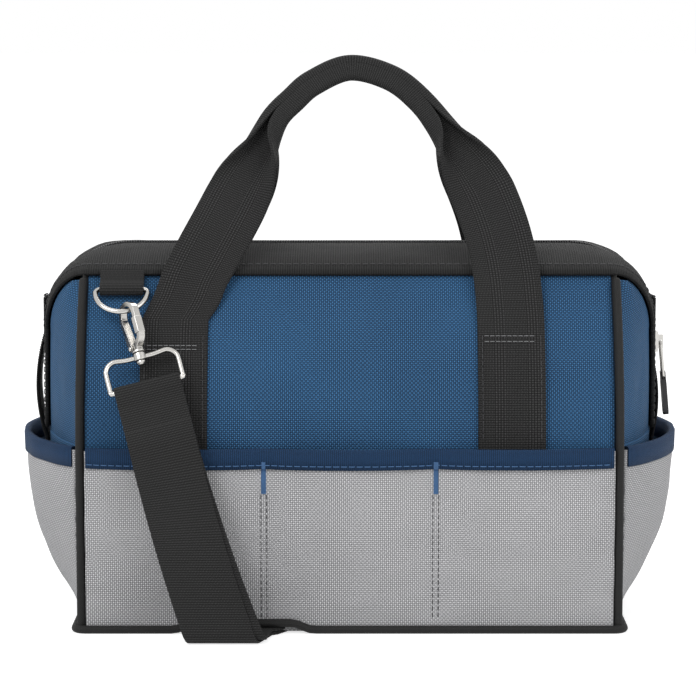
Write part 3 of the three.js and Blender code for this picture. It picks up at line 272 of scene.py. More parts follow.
# Where each piece on two bodies would start and stop bending, in metres; the pieces carry these heights
# but are not bent
WALL_BEND = ((0, 0, 0.099), (0, 0, 0.114))
WING_BEND = ((0, 0, 0.101), (0, 0, 0.118))
HANDLE_BEND = ((0, 0, 0.169), (0, 0, 0.181))
STRAP_TOP_BEND = ((0, 0, 0.098), (0, 0, 0.116))
STRAP_LOW_BEND = {"front": ((0, 0, 0.055), (0, 0, 0.0985)), "rear": ((0, 0, 0.084), (0, 0, 0.0985))}


def mix(a, b, share):
    return a + (b - a) * share


def clamp(value, low=0.0, high=1.0):
    return max(low, min(high, value))


def smoothstep(value, start, end):
    share = clamp((value - start) / (end - start))
    return share * share * (3 - 2 * share)


def spaced(start, end, count):
    """Values at even steps from start to end."""
    return [mix(start, end, k / count) for k in range(count + 1)]


# Mesh making


def outward(rows):
    """Whether a grid's faces, wound along then up, point away from the middle of the bag."""
    total = 0.0
    for low, high in zip(rows, rows[1:]):
        for a, b, c in zip(low, low[1:], high[1:]):
            total += (b - a).cross(c - a).dot((a + c) / 2 - MIDDLE)
    return total > 0


def placed(name, data):
    """An object in the scene that holds a mesh, a light or a camera."""
    obj = bpy.data.objects.new(name, data)
    bpy.context.scene.collection.objects.link(obj)
    return obj


def mesh_from(name, points, faces, uvs):
    """A mesh object from points in millimetres; uvs holds one pair in metres for each face corner."""
    mesh = bpy.data.meshes.new(name)
    mesh.from_pydata([tuple(p * MM) for p in points], [], faces)
    layer = mesh.uv_layers.new(name="cloth")
    layer.data.foreach_set("uv", [value for pair in uvs for value in pair])
    mesh.polygons.foreach_set("use_smooth", [True] * len(mesh.polygons))
    mesh.update()
    return placed(name, mesh)


def modified(obj, kind, inputs=None, **settings):
    """Runs one modifier, with its node tree's inputs by label, and keeps the result as a plain mesh."""
    modifier = obj.modifiers.new("change", kind)
    for label, setting in settings.items():
        setattr(modifier, label, setting)
    if inputs:
        for item in modifier.node_group.interface.items_tree:
            if item.name in inputs:
                modifier[item.identifier] = inputs[item.name]
    bpy.context.view_layer.update()
    depsgraph = bpy.context.evaluated_depsgraph_get()
    made = bpy.data.meshes.new_from_object(obj.evaluated_get(depsgraph))
    made.name = obj.name
    obj.modifiers.clear()
    obj.data = made
    return obj


def distances(line):
    """How far along a line each of its points lies, in metres."""
    run = [0.0]
    for a, b in zip(line, line[1:]):
        run.append(run[-1] + (b - a).length * MM)
    return run


def cloth(name, rows, thickness):
    """A panel of cloth: the grid is its outer face and its thickness lies inside."""
    across = len(rows[0])
    middle = across // 2
    uv_of = []
    for row, climb in zip(rows, distances([row[middle] for row in rows])):
        run = distances(row)
        uv_of += [(value - run[middle], climb) for value in run]
    winding = 1 if outward(rows) else -1
    faces = []
    for j in range(len(rows) - 1):
        for a in range(j * across, (j + 1) * across - 1):
            faces.append((a, a + 1, a + across + 1, a + across)[::winding])
    uvs = [uv_of[k] for face in faces for k in face]
    obj = mesh_from(name, [p for row in rows for p in row], faces, uvs)
    return modified(obj, "SOLIDIFY", thickness=thickness * MM, offset=-1)


def skin(name, points, sides, around, along, closed=False):
    """A strand from rings of points, with u from around and v from along. Open ends are closed flat."""
    count = len(points) // sides
    faces = []
    uvs = []
    for i in range(count if closed else count - 1):
        a = i * sides
        b = ((i + 1) % count) * sides
        for k in range(sides):
            n = (k + 1) % sides
            faces.append((a + k, a + n, b + n, b + k))
            uvs += [(around[k], along[i]), (around[k + 1], along[i]),
                    (around[k + 1], along[i + 1]), (around[k], along[i + 1])]
    if not closed:
        for row, step in ((points[:sides], -1), (points[-sides:], 1)):
            faces.append(tuple(range(len(points), len(points) + sides))[::step])
            points += row
        uvs += [(0.0, 0.0)] * (2 * sides)
    return face_out(mesh_from(name, points, faces, uvs))


def path_frames(points, hints, closed=False):
    """Point, across and face at each place of a path; face lies near the hint."""
    count = len(points)
    frames = []
    for i, point in enumerate(points):
        before = points[i - 1] if closed or i > 0 else points[0]
        after = points[(i + 1) % count] if closed or i < count - 1 else points[-1]
        tangent = (after - before).normalized()
        hint = hints[min(i, len(hints) - 1)]
        face = (hint - tangent * hint.dot(tangent)).normalized()
        frames.append((point, tangent.cross(face), face))
    return frames


def sweep(name, frames, section_at, closed=False):
    """A section swept along frames, with u round the section and v along the path."""
    points = []
    for i, (point, across, face) in enumerate(frames):
        points += [point + across * s + face * t for s, t in section_at(i / (len(frames) - 1))]
    section = section_at(0.5)
    around = [0.0]
    for a, b in zip(section, section[1:] + section[:1]):
        around.append(around[-1] + math.dist(a, b) * MM)
    along = distances([place[0] for place in frames + frames[:1]])
    return skin(name, points, len(section), around, along, closed)


def face_out(obj):
    """Turns a closed mesh so that its faces point out."""
    if sum(p.center.dot(p.normal) * p.area for p in obj.data.polygons) < 0:
        obj.data.flip_normals()
    return obj


def arc_points(x, y, radius, start, end, steps):
    """Points of an arc about a centre, with its angles in degrees."""
    angles = [math.radians(angle) for angle in spaced(start, end, steps)]
    return [(x + radius * math.cos(angle), y + radius * math.sin(angle)) for angle in angles]


def bend_points(start, control, end, steps):
    """Points of a quadratic curve after its start."""
    line = []
    for t in spaced(0, 1, steps)[1:]:
        line.append(tuple((1 - t) ** 2 * a + 2 * t * (1 - t) * b + t * t * c
                          for a, b, c in zip(start, control, end)))
    return line


def ring(radius, sides):
    return arc_points(0, 0, radius, 0, 360, sides)[:-1]


def strap_section(width, thickness):
    """A flat band with round edges."""
    bend = thickness / 2
    flat = width / 2 - bend
    corners = []
    for quarter, x in enumerate((flat, -flat, -flat, flat)):
        corners += arc_points(x, 0, bend, 90 * quarter, 90 * quarter + 90, 2)
    return corners


def catmull(points, steps, closed=False):
    """A smooth line through the points, with steps pieces for each stretch."""
    count = len(points)
    line = []
    for i in range(count if closed else count - 1):
        near = [(i + k) % count if closed else clamp(i + k, 0, count - 1) for k in (-1, 0, 1, 2)]
        a, b, c, d = [points[k] for k in near]
        square = 2 * a - 5 * b + 4 * c - d
        cube = 3 * b - a - 3 * c + d
        for t in spaced(0, 1, steps)[:-1]:
            line.append(0.5 * (2 * b + (c - a) * t + square * t * t + cube * t ** 3))
    if not closed:
        line.append(points[-1].copy())
    return line


def tube(name, line, radius, sides=16, hint=Vector((0, 1, 0)), closed=False):
    section = ring(radius, sides)
    return sweep(name, path_frames(line, [hint], closed), lambda share: section, closed)


def cord(name, line, radius, hint):
    """A tube with round ends: it thins over its last radius at each end."""
    dome = [1.0, 0.92, 0.7, 0.38, 0.0]
    start = [line[0].lerp(line[1], radius * (1 - d) / (line[1] - line[0]).length) for d in dome]
    end = [line[-1].lerp(line[-2], radius * (1 - d) / (line[-2] - line[-1]).length) for d in dome]
    whole = start + line[1:-1] + end[::-1]
    sizes = [math.sqrt(max(0.02, 1 - d * d)) for d in dome]
    shares = sizes + [1.0] * (len(line) - 2) + sizes[::-1]

    def section(share):
        return ring(radius * shares[round(share * (len(whole) - 1))], 14)

    return sweep(name, path_frames(whole, [hint]), section)


def joined(name, pieces):
    """Several pieces made one mesh, with their materials and UVs."""
    with bpy.context.temp_override(active_object=pieces[0], selected_editable_objects=pieces):
        bpy.ops.object.join()
    pieces[0].name = name
    pieces[0].data.name = name
    return pieces[0]


def moved(obj, matrix):
    """Moves a mesh, not its object; the matrix's places are millimetres."""
    scaled = matrix.copy()
    scaled.translation = matrix.translation * MM
    obj.data.transform(scaled)
    if matrix.determinant() < 0:
        obj.data.flip_normals()
    obj.data.update()
    return obj


def dressed(obj, material, slot, follows, *nodes):
    """Material, the body that it follows, and the nodes that it stands for; given a bend instead of a
    body, the mesh is only kept where it is. Slot is not used.
    """
    if material:
        obj.data.materials.clear()
        obj.data.materials.append(material)
    if nodes:
        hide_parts(*nodes)
    if isinstance(follows, str):
        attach(obj, follows)
    else:
        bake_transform(obj)
    return obj


# Shape of the bag


def wall_depth(z):
    share = max(0.0, (z - POCKET_HEIGHT) / (SEAM_HEIGHT - POCKET_HEIGHT))
    return HALF_DEPTH - WALL_LEAN * share * share


def rise_share(z, top):
    return clamp((z - FOOT_TOP) / (top - FOOT_TOP))


def front_point(x, z):
    across = 1 - (x / HALF_LENGTH) ** 2
    up = math.sin(math.pi * rise_share(z, SEAM_HEIGHT))
    return Vector((x, -(wall_depth(z) + FRONT_BELLY * across * up), z))


def front_normal(x, z):
    along = front_point(x + 1, z) - front_point(x - 1, z)
    up = front_point(x, z + 1) - front_point(x, z - 1)
    return along.cross(up).normalized()


def end_reach(y, z):
    swell = END_BULGE * (1 - math.exp(-max(0.0, z - FOOT_TOP) / END_BULGE_RISE))
    return HALF_LENGTH + swell * (1 - (y / wall_depth(z)) ** 2)


def end_point(share, z):
    y = mix(-1, 1, share) * (wall_depth(z) - END_EDGE_GAP)
    return Vector((end_reach(y, z), y, z))


def end_normal(share, z):
    along = end_point(share + 0.01, z) - end_point(share - 0.01, z)
    up = end_point(share, z + 1) - end_point(share, z - 1)
    return along.cross(up).normalized()


def crumple(point, size, seed):
    """A soft unevenness from -1 to 1, of about the given size."""
    return noise.noise(Vector((point[0] / size + seed, point[1] / size, point[2] / size - seed)))


def slack(point, waves):
    """How far a sewn panel stands off its even shape, from waves of height, size and seed."""
    return sum(height * crumple(point, size, seed) for height, size, seed in waves)


def mirrored(line, x=1, y=1):
    return [Vector((x * p.x, y * p.y, p.z)) for p in line]


def mirror_rows(rows, x=1, y=1):
    return [mirrored(row, x, y) for row in rows]


# Shader groups


def node_group(name, kind, inputs, outputs):
    """A tree with labelled sockets. An input is given by a float's default or by another kind's name."""
    tree = bpy.data.node_groups.new(name, kind)
    for label, given in inputs.items():
        word = given if isinstance(given, str) else "Float"
        socket = tree.interface.new_socket(label, in_out="INPUT", socket_type="NodeSocket" + word)
        if word == "Float":
            socket.default_value = given
    for label, word in outputs.items():
        tree.interface.new_socket(label, in_out="OUTPUT", socket_type="NodeSocket" + word)
    w = Wires(tree)
    return w, w.add("NodeGroupInput").outputs, w.add("NodeGroupOutput").inputs


class Wires:
    """Short calls for the nodes of one tree."""

    def __init__(self, tree):
        self.tree = tree

    def feed(self, sockets, values):
        """Links or sets sockets by name or number. A value of None leaves its socket as it is."""
        for key, value in dict(values).items():
            if isinstance(value, bpy.types.NodeSocket):
                self.tree.links.new(value, sockets[key])
            elif value is not None:
                sockets[key].default_value = value

    def add(self, kind, values=(), **settings):
        """A new node with its settings and inputs."""
        node = self.tree.nodes.new(kind)
        for label, setting in settings.items():
            setattr(node, label, setting)
        self.feed(node.inputs, values)
        return node

    def out(self, kind, values=(), **settings):
        """The first output of a new node."""
        return self.add(kind, values, **settings).outputs[0]

    def math(self, kind, *values):
        return self.out("ShaderNodeMath", enumerate(values), operation=kind)

    def grain(self, vector, scale, detail=2.0, roughness=0.5):
        return self.out("ShaderNodeTexNoise",
                        {"Vector": vector, "Scale": scale, "Detail": detail, "Roughness": roughness})

    def blend(self, share, a, b, kind="RGBA"):
        node = self.add("ShaderNodeMix", data_type=kind)
        self.feed([socket for socket in node.inputs if socket.enabled], enumerate((share, a, b)))
        return next(socket for socket in node.outputs if socket.enabled)

    def map_range(self, *values):
        """A value moved from one range, low and high, to another."""
        return self.out("ShaderNodeMapRange", enumerate(values))

    def bump(self, height, strength, distance):
        return self.out("ShaderNodeBump", {"Height": height, "Strength": strength, "Distance": distance})


def weave_group():
    """Plain weave of round threads on a vector in metres. Height is 0 in the gaps and 1 on a thread."""
    w, given, result = node_group(
        "plain weave", "ShaderNodeTree",
        {"Vector": "Vector", "Warp pitch": 0.0006, "Weft pitch": 0.0006, "Looseness": 0.12},
        {"Height": "Float", "Over": "Float"},
    )
    x, y = w.add("ShaderNodeSeparateXYZ", {0: given["Vector"]}).outputs[:2]
    uneven = w.math("SUBTRACT", w.grain(given["Vector"], 260.0), 0.5)
    sway = w.math("MULTIPLY", uneven, given["Looseness"])
    u = w.math("ADD", w.math("DIVIDE", x, given["Warp pitch"]), sway)
    v = w.math("ADD", w.math("DIVIDE", y, given["Weft pitch"]), sway)
    over = w.math("FLOORED_MODULO", w.math("ADD", w.math("FLOOR", u), w.math("FLOOR", v)), 2.0)
    round_u, round_v = [
        w.math("ABSOLUTE", w.math("SINE", w.math("MULTIPLY", turn, math.pi))) for turn in (u, v)
    ]
    warp, weft = [
        w.math("MULTIPLY", w.math("POWER", a, 0.6), w.math("MULTIPLY_ADD", b, 0.5, 0.5))
        for a, b in ((round_u, round_v), (round_v, round_u))
    ]
    w.feed(result, {"Height": w.blend(over, weft, warp, "FLOAT"), "Over": over})
    return w.tree


def wear_group():
    """Slow changes of tone over a piece: patches of fading and a little dust, from 0 to 1."""
    w, given, result = node_group("fading", "ShaderNodeTree", {"Vector": "Vector", "Size": 12.0},
                                  {"Tone": "Float", "Dust": "Float"})
    slow = w.grain(given["Vector"], given["Size"], 3.0)
    fine = w.grain(given["Vector"], w.math("MULTIPLY", given["Size"], 14.0), 4.0, 0.65)
    w.feed(result, {"Tone": w.map_range(slow, 0.3, 0.7, 0.0, 1.0),
                    "Dust": w.map_range(fine, 0.55, 0.75, 0.0, 1.0)})
    return w.tree


WEAVE = weave_group()
FADING = wear_group()


def linear(red, green, blue):
    """A colour given as it looks on screen, 0 to 255, as the shader wants it."""
    def one(value):
        value /= 255
        return value / 12.92 if value <= 0.04045 else ((value + 0.055) / 1.055) ** 2.4
    return (one(red), one(green), one(blue), 1.0)


def new_material(name):
    """A material with its tree and the inputs of its shader."""
    material = bpy.data.materials.new(name)
    material.use_nodes = True
    tree = material.node_tree
    return material, Wires(tree), tree.nodes["Principled BSDF"].inputs


def fading(w, size=None):
    """The place on a piece, and the fading group's outputs there."""
    place = w.add("ShaderNodeTexCoord").outputs["Object"]
    return place, w.add("ShaderNodeGroup", {"Vector": place, "Size": size}, node_tree=FADING).outputs


def woven(name, dark, light, warp, weft, depth, roughness, checker=0.35, sharp=1.4):
    """Woven cloth: the gaps take the dark colour as painted shade, and the threads the light one as they
    come up, as painted light on their crowns.
    """
    material, w, shader = new_material(name)
    light = linear(*light)
    threads = {"Vector": w.out("ShaderNodeUVMap", uv_map="cloth"), "Warp pitch": warp * MM,
               "Weft pitch": weft * MM}
    weave = w.add("ShaderNodeGroup", threads, node_tree=WEAVE).outputs
    shade = w.math("MULTIPLY_ADD", w.math("SUBTRACT", 1.0, weave["Over"]), -checker, 1.0)
    # Painted shade in the gaps and painted light on the crowns: the colour follows each thread's height
    lit = w.math("MULTIPLY", w.math("POWER", weave["Height"], sharp), shade)
    faded = w.math("MULTIPLY", fading(w)[1]["Tone"], CLOTH_FADE)
    w.feed(shader, {
        "Base Color": w.blend(faded, w.blend(lit, linear(*dark), light), light),
        "Roughness": w.map_range(weave["Height"], 0.0, 1.0, 0.97, roughness),
        "Specular IOR Level": 0.3, "Sheen Weight": 0.02, "Sheen Roughness": 0.5,
        "Normal": w.bump(weave["Height"], 0.9, depth * MM),
    })
    return material


def plain(name, kind, rgb, roughness, relief=0.25):
    """A material of one colour, stained, worn and grained as METAL or MOULDED says."""
    material, w, shader = new_material(name)
    place, outputs = fading(w, kind["size"])
    colour = linear(*rgb)
    source, share, tint = kind["stain"]
    stained = tuple(tint * c for c in colour[:3]) + (1.0,)
    worn, more = kind["wear"]
    scale, detail, height = kind["grain"]
    w.feed(shader, {
        "Base Color": w.blend(w.math("MULTIPLY", outputs[source], share), colour, stained),
        "Metallic": kind["metallic"],
        "Roughness": w.map_range(outputs[worn], 0.0, 1.0, roughness, roughness + more),
        "Normal": w.bump(w.grain(place, scale, detail), relief, height),
    })
    return material


# Stain is an output, its share and the tint; wear is an output and what it adds;
# grain is its scale, detail and height
METAL = {"size": 120.0, "stain": ("Dust", 0.25, 0.8), "wear": ("Tone", 0.12),
         "grain": (900.0, 3.0, 0.00004), "metallic": 1.0}
MOULDED = {"size": 60.0, "stain": ("Tone", 0.35, 1.5), "wear": ("Dust", 0.15),
           "grain": (2400.0, 2.0, 0.00008), "metallic": 0.0}

blue_cloth = woven("blue woven cloth", (2, 14, 38), (72, 134, 188), 1.15, 1.15, 0.3, 0.7, 0.6, 2.0)
grey_cloth = woven("grey woven cloth", (88, 88, 92), (250, 250, 252), 1.15, 1.15, 0.3, 0.75, 0.4, 1.6)
band_cloth = woven("black hem webbing", (2, 2, 2), (54, 54, 54), 1.37, 0.7, 0.4, 0.75, 0.2, 3.0)
binding_tape = woven("navy ribbed tape", (2, 12, 28), (34, 78, 124), 1.1, 0.5, 0.25, 0.7, 0.2, 2.0)
black_webbing = woven("black webbing", (2, 2, 2), (68, 68, 68), 0.75, 1.37, 0.42, 0.75, 0.25, 3.0)
piping_cloth = woven("black piping cloth", (8, 8, 8), (46, 46, 46), 0.7, 0.7, 0.12, 0.6)
zip_tape = woven("black zip tape", (8, 8, 9), (48, 48, 50), 0.5, 0.5, 0.1, 0.7)
base_cloth = woven("black base cloth", (14, 14, 15), (56, 56, 58), 0.8, 0.8, 0.15, 0.6)
coil_plastic = plain("black zip coil", MOULDED, (34, 34, 36), 0.35)
rubber = plain("black moulded rubber", MOULDED, (38, 38, 40), 0.5)
board_plastic = plain("black board", MOULDED, (40, 40, 40), 0.6)
blue_thread = plain("blue thread", MOULDED, (66, 104, 148), 0.6)
pale_thread = plain("pale thread", MOULDED, (120, 120, 122), 0.6)
black_thread = plain("black thread", MOULDED, (56, 56, 58), 0.6)
nickel = plain("bright nickel", METAL, (190, 188, 184), 0.15, 0.008)
rod_steel = plain("drawn steel", METAL, (150, 150, 152), 0.35, 0.1)


# Walls, pockets and bindings


def wall_rows():
    """The blue front panel from the base to under the hem band, with the slack of sewn cloth."""
    rows = []
    for z in spaced(PANEL_FOOT, SEAM_HEIGHT - 1.5, WALL_GRID[1]):
        row = []
        under_seam = SEAM_HEIGHT - z
        high = smoothstep(z, POCKET_HEIGHT, POCKET_HEIGHT + 25)
        for x in spaced(-FRONT_EDGE, FRONT_EDGE, WALL_GRID[0]):
            edge = smoothstep(FRONT_EDGE - abs(x), 0, 30) * smoothstep(under_seam, 4, 34)
            wave = math.sin(x / 9.5 + 1.5 * crumple((x, 0, z), 40, 1.2))
            folds = 0.45 * wave * math.exp(-under_seam / 22) * smoothstep(under_seam, 2, 10)
            held = smoothstep(min(abs(x - HANDLE_LEFT), abs(x - HANDLE_RIGHT)), 18, 40)
            from_hook = smoothstep(math.hypot(abs(x) - RING_OFFSET, z - RING_HEIGHT + HOOK_REACH), 26, 50)
            loose = edge * (0.8 + slack((x, 0, z), WALL_SLACK)) + folds
            puff = high * held * from_hook * loose - HOOK_ROOM * (1 - from_hook)
            row.append(front_point(x, z) + front_normal(x, z) * puff)
        rows.append(row)
    return rows


def pocket_gap(x, z):
    """How far the front pocket stands off the wall. The seams between the three hold it close."""
    divider = DIVIDER_SPACING / 2
    edges = (-FRONT_EDGE, -divider, divider, FRONT_EDGE)
    k = 0 if x < -divider else 1 if x < divider else 2
    along = clamp((x - edges[k]) / (edges[k + 1] - edges[k]))
    swell = max(BINDING_ROOM / FRONT_POCKET_GAP, max(0.0, math.sin(math.pi * along)) ** 0.6)
    return FRONT_POCKET_GAP * swell * math.sin((math.pi / 2) * rise_share(z, 0.75 * POCKET_HEIGHT))


def pocket_point(x, z, ruffle=1.0):
    """A point of the front pocket's outer face."""
    gap = CLEARANCE + POCKET_WALL + pocket_gap(x, z)
    seam = min(abs(abs(x) - DIVIDER_SPACING / 2), FRONT_EDGE - abs(x))
    inside = smoothstep(seam, 0, 16) * smoothstep(z, 6, 26)
    tucks = 0.3 * math.sin(z / 4.2 + 3 * crumple((x, 3, z), 20, 2.2)) * math.exp(-seam / 9)
    soft = inside * slack((x, 5, z), POCKET_SLACK)
    return front_point(x, z) + front_normal(x, z) * (gap + ruffle * (soft + tucks))


def end_pocket_point(share, z, side):
    """A point of an end pocket's outer face; side is 1 at the right and -1 at the left."""
    open_share = max(0.0, 1 - (2 * share - 1) ** 2) ** 0.7
    across = max(BINDING_ROOM / END_POCKET_GAP, open_share)
    up = math.sin((math.pi / 2) * rise_share(z, 0.7 * POCKET_HEIGHT))
    gap = CLEARANCE + POCKET_WALL + END_POCKET_GAP * across * up
    place = end_point(share, z)
    inside = smoothstep(min(share, 1 - share), 0, 0.15) * smoothstep(z, 6, 30)
    large, small = END_POCKET_SLACK
    soft = slack((side * 3, place.y, z), [large]) + slack((side * 5, place.y, z), [small])
    return place + end_normal(share, z) * (gap + inside * soft)


def make_walls():
    front_wall = wall_rows()
    top = POCKET_RIM - 2 * BINDING_THICKNESS
    across, up = POCKET_GRID
    front_pocket = [[pocket_point(x, z) for x in spaced(-FRONT_EDGE, FRONT_EDGE, across)]
                    for z in spaced(PANEL_FOOT, top, up)]
    for side, y in SIDES:
        wall = cloth(f"{side}_wall_cloth", mirror_rows(front_wall, 1, y), WALL_THICKNESS)
        dressed(wall, blue_cloth, "fabric_blue", ("bag_body", f"{side}_flap", *WALL_BEND),
                f"{side}_lower_wall", f"{side}_upper_wall")
        pocket = cloth(f"{side}_pocket_cloth", mirror_rows(front_pocket, 1, y), POCKET_WALL)
        dressed(pocket, grey_cloth, "fabric_grey", "bag_body", f"{side}_pocket")
    for end, x in ENDS:
        across, up = END_GRID
        rows = [[end_point(share, z) for share in spaced(0, 1, across)]
                for z in spaced(PANEL_FOOT, POCKET_RIM, up)]
        wall = cloth(f"{end}_end_cloth", mirror_rows(rows, x), WALL_THICKNESS)
        dressed(wall, blue_cloth, "fabric_blue", "bag_body", f"{end}_end_wall")
        across, up = END_POCKET_GRID
        rows = [[end_pocket_point(share, z, x) for share in spaced(0, 1, across)]
                for z in spaced(PANEL_FOOT, top, up)]
        pocket = cloth(f"{end}_pocket_cloth", mirror_rows(rows, x), POCKET_WALL)
        dressed(pocket, grey_cloth, "fabric_grey", "bag_body", f"{end}_pocket")


def binding_section(lean):
    """The tape's U section over a rim, with its legs turned in by the pocket's lean."""
    t = BINDING_THICKNESS
    inner = POCKET_WALL + CLEARANCE
    drop = -BINDING_HEIGHT
    middle = (CLEARANCE - inner) / 2
    half = (CLEARANCE + inner) / 2 + t
    crown = BINDING_CROWN
    outside = [(CLEARANCE + t - lean, drop), (CLEARANCE + t, -crown)]
    for angle in spaced(0, math.pi, 6):
        outside.append((middle + half * math.cos(angle), crown * (math.sin(angle) - 1)))
    outside += [(-inner - t, -crown), (-inner - t - lean, drop)]
    return outside + [(-inner - lean, drop), (-inner, -crown - t), (CLEARANCE, -crown - t),
                      (CLEARANCE - lean, drop)]


def swap_uvs(obj):
    """Turns a pattern by a quarter, so that its ribs run the other way."""
    layer = obj.data.uv_layers["cloth"]
    flat = [0.0] * (2 * len(layer.data))
    layer.data.foreach_get("uv", flat)
    flat[0::2], flat[1::2] = flat[1::2], flat[0::2]
    layer.data.foreach_set("uv", flat)


def at_rim(point):
    return Vector((point.x, point.y, POCKET_RIM))


def front_rim(ruffle=0.5):
    """The line of the front pocket's rim."""
    ends = FRONT_EDGE - 1
    return [at_rim(pocket_point(x, POCKET_RIM, ruffle)) for x in spaced(-ends, ends, 150)]


def make_bindings():
    """Ribbed tape over the pockets' rims, with its ribs across the tape."""
    rim_lean = end_reach(0, POCKET_RIM) - end_reach(0, POCKET_RIM - BINDING_HEIGHT)
    rims = [(side, y, mirrored(front_rim(), 1, y), 0.0) for side, y in SIDES]
    for end, x in ENDS:
        rim = [at_rim(end_pocket_point(share, POCKET_RIM, x)) for share in spaced(0.01, 0.99, 90)]
        rims.append((end, x, mirrored(rim, x), rim_lean))
    for name, way, rim, lean in rims:
        frames = path_frames(rim[::way], [Vector((0, 0, 1))])
        tape = sweep(f"{name}_rim_tape", frames,
                     lambda share: binding_section(lean * (1 - (2 * share - 1) ** 2)))
        swap_uvs(tape)
        dressed(tape, binding_tape, "binding_navy", "bag_body", f"{name}_pocket_binding")


make_walls()
make_bindings()


# Piping


def corner_line(high):
    """The seam at a corner of the bag, from the foot piping up."""
    return [Vector((HALF_LENGTH + PIPING_PROUD, -(wall_depth(z) + PIPING_PROUD), z))
            for z in spaced(PIPING_RADIUS, high, 60)]


def foot_line():
    """The piping round the foot, lifted where the strap passes under it."""
    stand_off = CLEARANCE + POCKET_WALL + PIPING_RADIUS + CLEARANCE
    out_y = HALF_DEPTH + stand_off
    corner_x = HALF_LENGTH + stand_off - FOOT_LOOP_RADIUS
    corner_y = out_y - FOOT_LOOP_RADIUS
    crossing = out_y * STRAP_SLOPE
    half = (WEBBING_WIDTH / 2 + CHANNEL_MARGIN) / math.cos(math.atan(STRAP_SLOPE))
    points = []
    for turn in (1, -1):
        for x in spaced(corner_x, -corner_x, 80):
            past = abs(x - crossing) / half
            lift = CHANNEL_HEIGHT * (1 - smoothstep(past, 1.1, 1.6))
            points.append(Vector((turn * x, turn * out_y, PIPING_RADIUS + lift)))
        for start, y in ((90, corner_y), (180, -corner_y)):
            corner = arc_points(-corner_x, y, FOOT_LOOP_RADIUS, start, start + 90, 8)
            for px, py in corner if start == 180 else corner[1:]:
                points.append(Vector((turn * px, turn * py, PIPING_RADIUS)))
        points.pop()
    return points


def piping_flange(name, x, y):
    """The piping's flange, sewn into the corner seam and pointing into the bag."""
    half = PIPING_FLANGE_HALF / math.sqrt(2)
    reach = PIPING_FLANGE_REACH / math.sqrt(2)
    section = [(-x * half, -y * half), (y * reach - x * half, -x * reach - y * half),
               (y * reach + x * half, -x * reach + y * half), (x * half, y * half)]
    line = mirrored(corner_line(SEAM_HEIGHT - 2), x, y)
    frames = [(point, Vector((0, 1, 0)), Vector((1, 0, 0))) for point in line]
    return sweep(name, frames, lambda share: section)


def make_piping():
    foot = tube("foot_piping_loop", foot_line(), PIPING_RADIUS, 14, Vector((0, 0, 1)), True)
    dressed(foot, piping_cloth, "piping_black", "bag_body", "foot_piping")
    for side, y in SIDES:
        for end, x in ENDS:
            name = f"{side}_{end}_corner_piping"
            line = mirrored(corner_line(SEAM_HEIGHT - 5), x, y)
            round_edge = cord(name, line, PIPING_RADIUS, Vector((1, 0, 0)))
            piping = joined(name, [round_edge, piping_flange(f"{name}_flange", x, y)])
            dressed(piping, piping_cloth, "piping_black", ("bag_body", f"{side}_flap", *WALL_BEND),
                    f"{side}_{end}_upper_piping")


make_piping()


# Base


def base_panel():
    """The padded base, arched over the strap on its underside."""
    inset = WALL_THICKNESS + CLEARANCE
    half_x = HALF_LENGTH - inset
    half_y = HALF_DEPTH - inset
    core_x = half_x - BASE_CORNER
    core_y = half_y - BASE_CORNER
    slant = math.atan(STRAP_SLOPE)
    half = WEBBING_WIDTH / 2 + CHANNEL_MARGIN
    columns = 120
    depth = 76
    under_side = []
    top_side = []
    for y in spaced(-half_y, half_y, depth):
        for x in spaced(-half_x, half_x, columns):
            core = Vector((clamp(x, -core_x, core_x), clamp(y, -core_y, core_y), 0))
            away = Vector((x, y, 0)) - core
            if away.length > BASE_CORNER:
                away = away.normalized() * BASE_CORNER
            place = core + away
            off = abs(place.x * math.cos(slant) - place.y * math.sin(slant))
            arch = CHANNEL_HEIGHT * (1 - smoothstep(off, half, half + CHANNEL_SLOPE))
            edge = min(half_x - abs(place.x), half_y - abs(place.y))
            rounding = BASE_ROUNDING * (1 - smoothstep(edge, 0, 2.5))
            under_side.append(place + Vector((0, 0, min(arch + rounding, BASE_THICKNESS - 1.5))))
            top_side.append(place + Vector((0, 0, BASE_THICKNESS - rounding)))
    points = under_side + top_side
    layer = len(under_side)

    def at(i, j):
        return j * (columns + 1) + i

    faces = []
    for j in range(depth):
        for i in range(columns):
            quad = (at(i, j), at(i + 1, j), at(i + 1, j + 1), at(i, j + 1))
            faces += [quad[::-1], tuple(layer + k for k in quad)]
    rim = [at(i, 0) for i in range(columns)] + [at(columns, j) for j in range(depth)]
    rim += [at(columns - i, depth) for i in range(columns)] + [at(0, depth - j) for j in range(depth)]
    faces += [(a, b, layer + b, layer + a) for a, b in zip(rim, rim[1:] + rim[:1])]
    uvs = [(points[k].x * MM, points[k].y * MM) for face in faces for k in face]
    return face_out(mesh_from("base_pad", points, faces, uvs))


base_pad = dressed(base_panel(), base_cloth, "base_fabric", "bag_body", "base_panel")


# Hem bands, wings and zip


